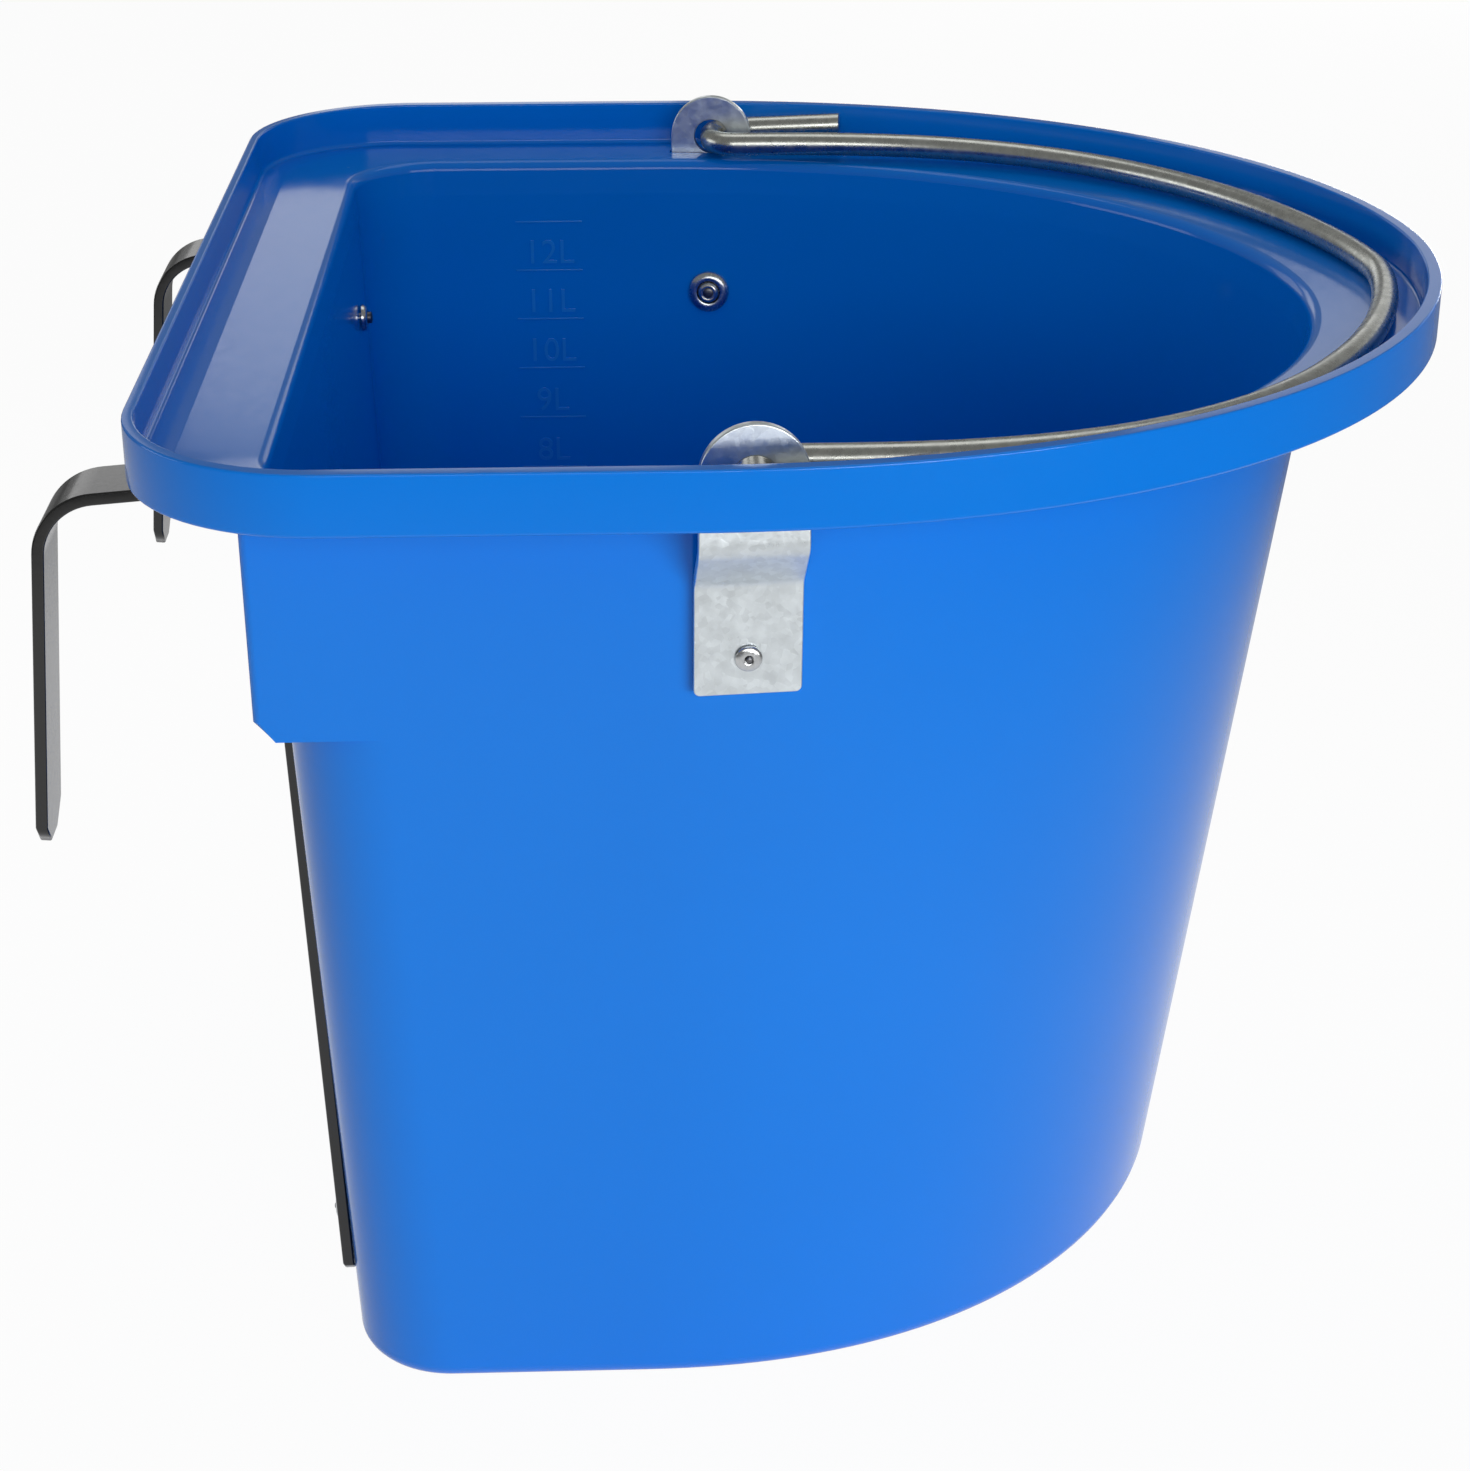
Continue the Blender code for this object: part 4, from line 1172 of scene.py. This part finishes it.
def turned_steel(name, tint, roughness):
    """Small pressed steel parts: bright, with fine marks from the tool."""
    made, shader = finish_of(name)
    place = add(made, "ShaderNodeTexCoord", {}).outputs["Object"]
    light = hex_colour(tint)
    smoothest, roughest = roughness

    # Tool marks about 0.6 mm across, which is coarser than real so that they show
    marks = add(made, "ShaderNodeTexNoise", {
        "Vector": place, "Scale": 1800.0, "Detail": 4.0, "Roughness": 0.7,
    })
    tone = add(made, "ShaderNodeMix", {
        "Factor": marks.outputs["Fac"], "A": darker(light, 0.7), "B": light,
    }, data_type="RGBA")
    gloss = add(made, "ShaderNodeMapRange", {
        "Value": marks.outputs["Fac"],
        "From Min": 0.3, "From Max": 0.7, "To Min": smoothest, "To Max": roughest,
    })
    connect(made, shader, {
        "Base Color": tone.outputs["Result"],
        "Roughness": gloss.outputs["Result"],
        "Metallic": 1.0,
    })
    return made


def white_floor():
    """A pale floor that shows as white and keeps the shadow of the bucket. Its colour is painted
    white near the bucket and grey further off, a painted pool of light, so that its far parts are
    greyer in reflections."""
    made, shader = finish_of("white_studio_floor")
    place = add(made, "ShaderNodeTexCoord", {}).outputs["Object"]
    x, y = BRIGHT_FLOOR_CENTRE
    start, end = BRIGHT_FLOOR_RADII
    grey, white = (hex_colour(tone) for tone in FLOOR_GREYS)
    centred = add(made, "ShaderNodeMapping", {"Vector": place, "Location": (-x, -y, 0.0)})
    away = add(made, "ShaderNodeVectorMath", {0: centred.outputs["Vector"]}, operation="LENGTH")
    near = add(made, "ShaderNodeMapRange", {
        "Value": away.outputs["Value"],
        "From Min": start, "From Max": end, "To Min": 1.0, "To Max": 0.0,
    })
    # Painted pool of light: the floor is white near the bucket and grey further off
    painted_light_pool = add(made, "ShaderNodeMix", {
        "Factor": near.outputs["Result"], "A": grey, "B": white,
    }, data_type="RGBA")
    connect(made, shader, {"Base Color": painted_light_pool.outputs["Result"], "Roughness": 0.9})

    # What the camera sees glows, and so does what is reflected near the bucket: a painted pool of
    # light in reflections
    path = add(made, "ShaderNodeLightPath", {})
    seen = add(made, "ShaderNodeMath", {
        0: path.outputs["Is Camera Ray"], 1: FLOOR_GLOW_SEEN,
    }, operation="MULTIPLY")
    reflected_light_pool = add(made, "ShaderNodeMath", {
        0: path.outputs["Is Glossy Ray"], 1: near.outputs["Result"],
    }, operation="MULTIPLY")
    part = add(made, "ShaderNodeMath", {
        0: reflected_light_pool.outputs["Value"], 1: FLOOR_GLOW_REFLECTED,
    }, operation="MULTIPLY")
    share = add(made, "ShaderNodeMath", {
        0: seen.outputs["Value"], 1: part.outputs["Value"],
    }, operation="MAXIMUM")
    glow = add(made, "ShaderNodeEmission", {"Color": (1, 1, 1, 1), "Strength": 1.0})
    mixed = add(made, "ShaderNodeMixShader", {
        0: share.outputs["Value"], 1: shader.outputs["BSDF"], 2: glow.outputs["Emission"],
    })
    output = made.node_tree.nodes["Material Output"]
    connect(made, output, {"Surface": mixed.outputs["Shader"]})
    return made


def dress(piece, body, material, node):
    """Gives a finished piece its material and its body, and hides the node of the part that it
    stands for.
    """
    piece.data.materials.clear()
    piece.data.materials.append(material)
    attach(piece, body)
    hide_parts(node)


def finishes():
    """Every material of the object, by a short name."""
    return {
        "plastic": blue_polyethylene("moulded_blue_polyethylene", PLASTIC_BLUES),
        # The litre marks' lighter blue is a painted highlight
        "highlighted_raised_plastic": blue_polyethylene("blue_polyethylene_painted_highlight", MARK_HIGHLIGHT_BLUES),
        "strap": zinc_plate("bright_zinc_strap", STRAP_ZINC, (0.27, 0.42), 1.6 * MM, 0.25),
        "wire": zinc_plate("drawn_zinc_wire", WIRE_ZINC, (0.20, 0.36), 1.2 * MM, 0.12),
        "washer": turned_steel("zinc_washer", WASHER_ZINC, (0.16, 0.30)),
        "enamel": black_enamel("black_gloss_enamel"),
        "rivet": turned_steel("rivet_steel", RIVET_STEEL, (0.15, 0.30)),
        "mandrel": turned_steel("mandrel_steel", MANDREL_STEEL, (0.25, 0.42)),
    }


def shapes():
    """One of each piece that is used twice or more. The rivets' seats are in mm from the wall."""
    gap = GAP / MM
    side_wall = WALL / MM * math.cos(math.atan(SIDE_DRAFT))
    back_wall = WALL / MM * math.cos(math.atan(BACK_DRAFT))
    ear_seats = (EAR_THICKNESS / MM + 2 * gap, side_wall + WASHER_SEAT + 2 * gap)
    hook_seats = (HOOK_THICKNESS / MM + 2 * gap, back_wall + gap)
    return {
        "strap": ear_strap(),
        "bar": hook_bar(),
        "ear_rivet": rivet("ear_rivet", *ear_seats, bulb_radius=3.2, bulb_height=1.7),
        "ear_mandrel": mandrel("ear_mandrel", *ear_seats, length=1.4),
        "washer": washer("washer", side_wall + gap),
        "hook_rivet": rivet("hook_rivet", *hook_seats, bulb_radius=4.1, bulb_height=1.9),
        "hook_mandrel": mandrel("hook_mandrel", *hook_seats, length=3.3),
    }


def build():
    """The bucket with its litre marks, the bail, and the ears and hooks of both sides."""
    finish = finishes()
    dress(moulded_bucket(), "bucket", finish["plastic"], "bucket_body")
    # The litre marks take the lighter blue of the painted highlight
    for piece in litre_marks():
        dress(piece, "bucket", finish["highlighted_raised_plastic"], "bucket_body")
    dress(bail_wire(), "bail", finish["wire"], "bail")

    shape = shapes()

    def put(kind, name, matrix, material, node):
        dress(copy_of(shape[kind], name, matrix), "bucket", finish[material], node)

    for side, way in (("left", 1), ("right", -1)):
        ear = ear_frame(way)
        spot = ear @ ear_rivet_frame()
        put("strap", f"zinc_strap_{side}", ear, "strap", f"ear_bracket_{side}")
        put("ear_rivet", f"strap_rivet_{side}", spot, "rivet", f"ear_rivet_{side}")
        put("ear_mandrel", f"strap_mandrel_{side}", spot, "mandrel", f"ear_mandrel_{side}")
        put("washer", f"strap_washer_{side}", spot, "washer", f"ear_washer_{side}")
        aside = Matrix.Translation((0, way * HOOK_Y, 0))
        put("bar", f"enamelled_hook_{side}", aside, "enamel", f"hook_{side}")
        for level, z in zip(("upper", "lower"), HOOK_RIVETS):
            which = f"{side}_{level}"
            spot = aside @ hook_rivet_frame(z)
            put("hook_rivet", f"bar_rivet_{which}", spot, "rivet", f"hook_rivet_{which}")
            put("hook_mandrel", f"bar_mandrel_{which}", spot, "mandrel", f"hook_mandrel_{which}")
    for made in shape.values():
        take(made)
        bpy.ops.object.delete()


def lay_floor():
    """A wide floor just under the bucket."""
    start_clean()
    bpy.ops.mesh.primitive_plane_add(size=FLOOR_SIZE)
    floor = name_piece("studio_floor")
    floor.location.z = -FLOOR_BELOW
    floor.data.materials.append(white_floor())


def place_camera():
    """The camera at the photograph's place, as fitted to the bucket's outline."""
    turn = [math.radians(angle) for angle in CAMERA_TURN]
    bpy.ops.object.camera_add(location=CAMERA_PLACE, rotation=turn)
    camera = bpy.context.object
    camera.data.lens = CAMERA_LENS
    camera.data.sensor_width = CAMERA_SENSOR
    camera.data.clip_start = 0.01
    camera.data.clip_end = 40.0
    bpy.context.scene.camera = camera


def hang_lamps():
    """Soft rectangular lamps, each turned to what it aims at."""
    for name, place, aim, width, height, power in LAMPS:
        direction = Vector(aim) - Vector(place)
        turn = direction.to_track_quat("-Z", "Y").to_euler()
        bpy.ops.object.light_add(type="AREA", location=place, rotation=turn)
        lamp = bpy.context.object
        lamp.name = name
        lamp.data.shape = "RECTANGLE"
        lamp.data.size = width
        lamp.data.size_y = height
        lamp.data.energy = power


def fill_world():
    """A world that shows as white and lights with less."""
    world = bpy.data.worlds.new("white_studio")
    bpy.context.scene.world = world
    world.use_nodes = True
    tree = world.node_tree
    back = tree.nodes["Background"]
    back.inputs["Color"].default_value = (1, 1, 1, 1)
    path = tree.nodes.new("ShaderNodeLightPath")
    level = tree.nodes.new("ShaderNodeMapRange")
    tree.links.new(path.outputs["Is Camera Ray"], level.inputs["Value"])
    level.inputs["To Min"].default_value = WORLD_LIGHT
    level.inputs["To Max"].default_value = WORLD_SEEN
    tree.links.new(level.outputs["Result"], back.inputs["Strength"])


build()
lay_floor()
place_camera()
hang_lamps()
fill_world()
bpy.context.scene.view_settings.view_transform = "Standard"
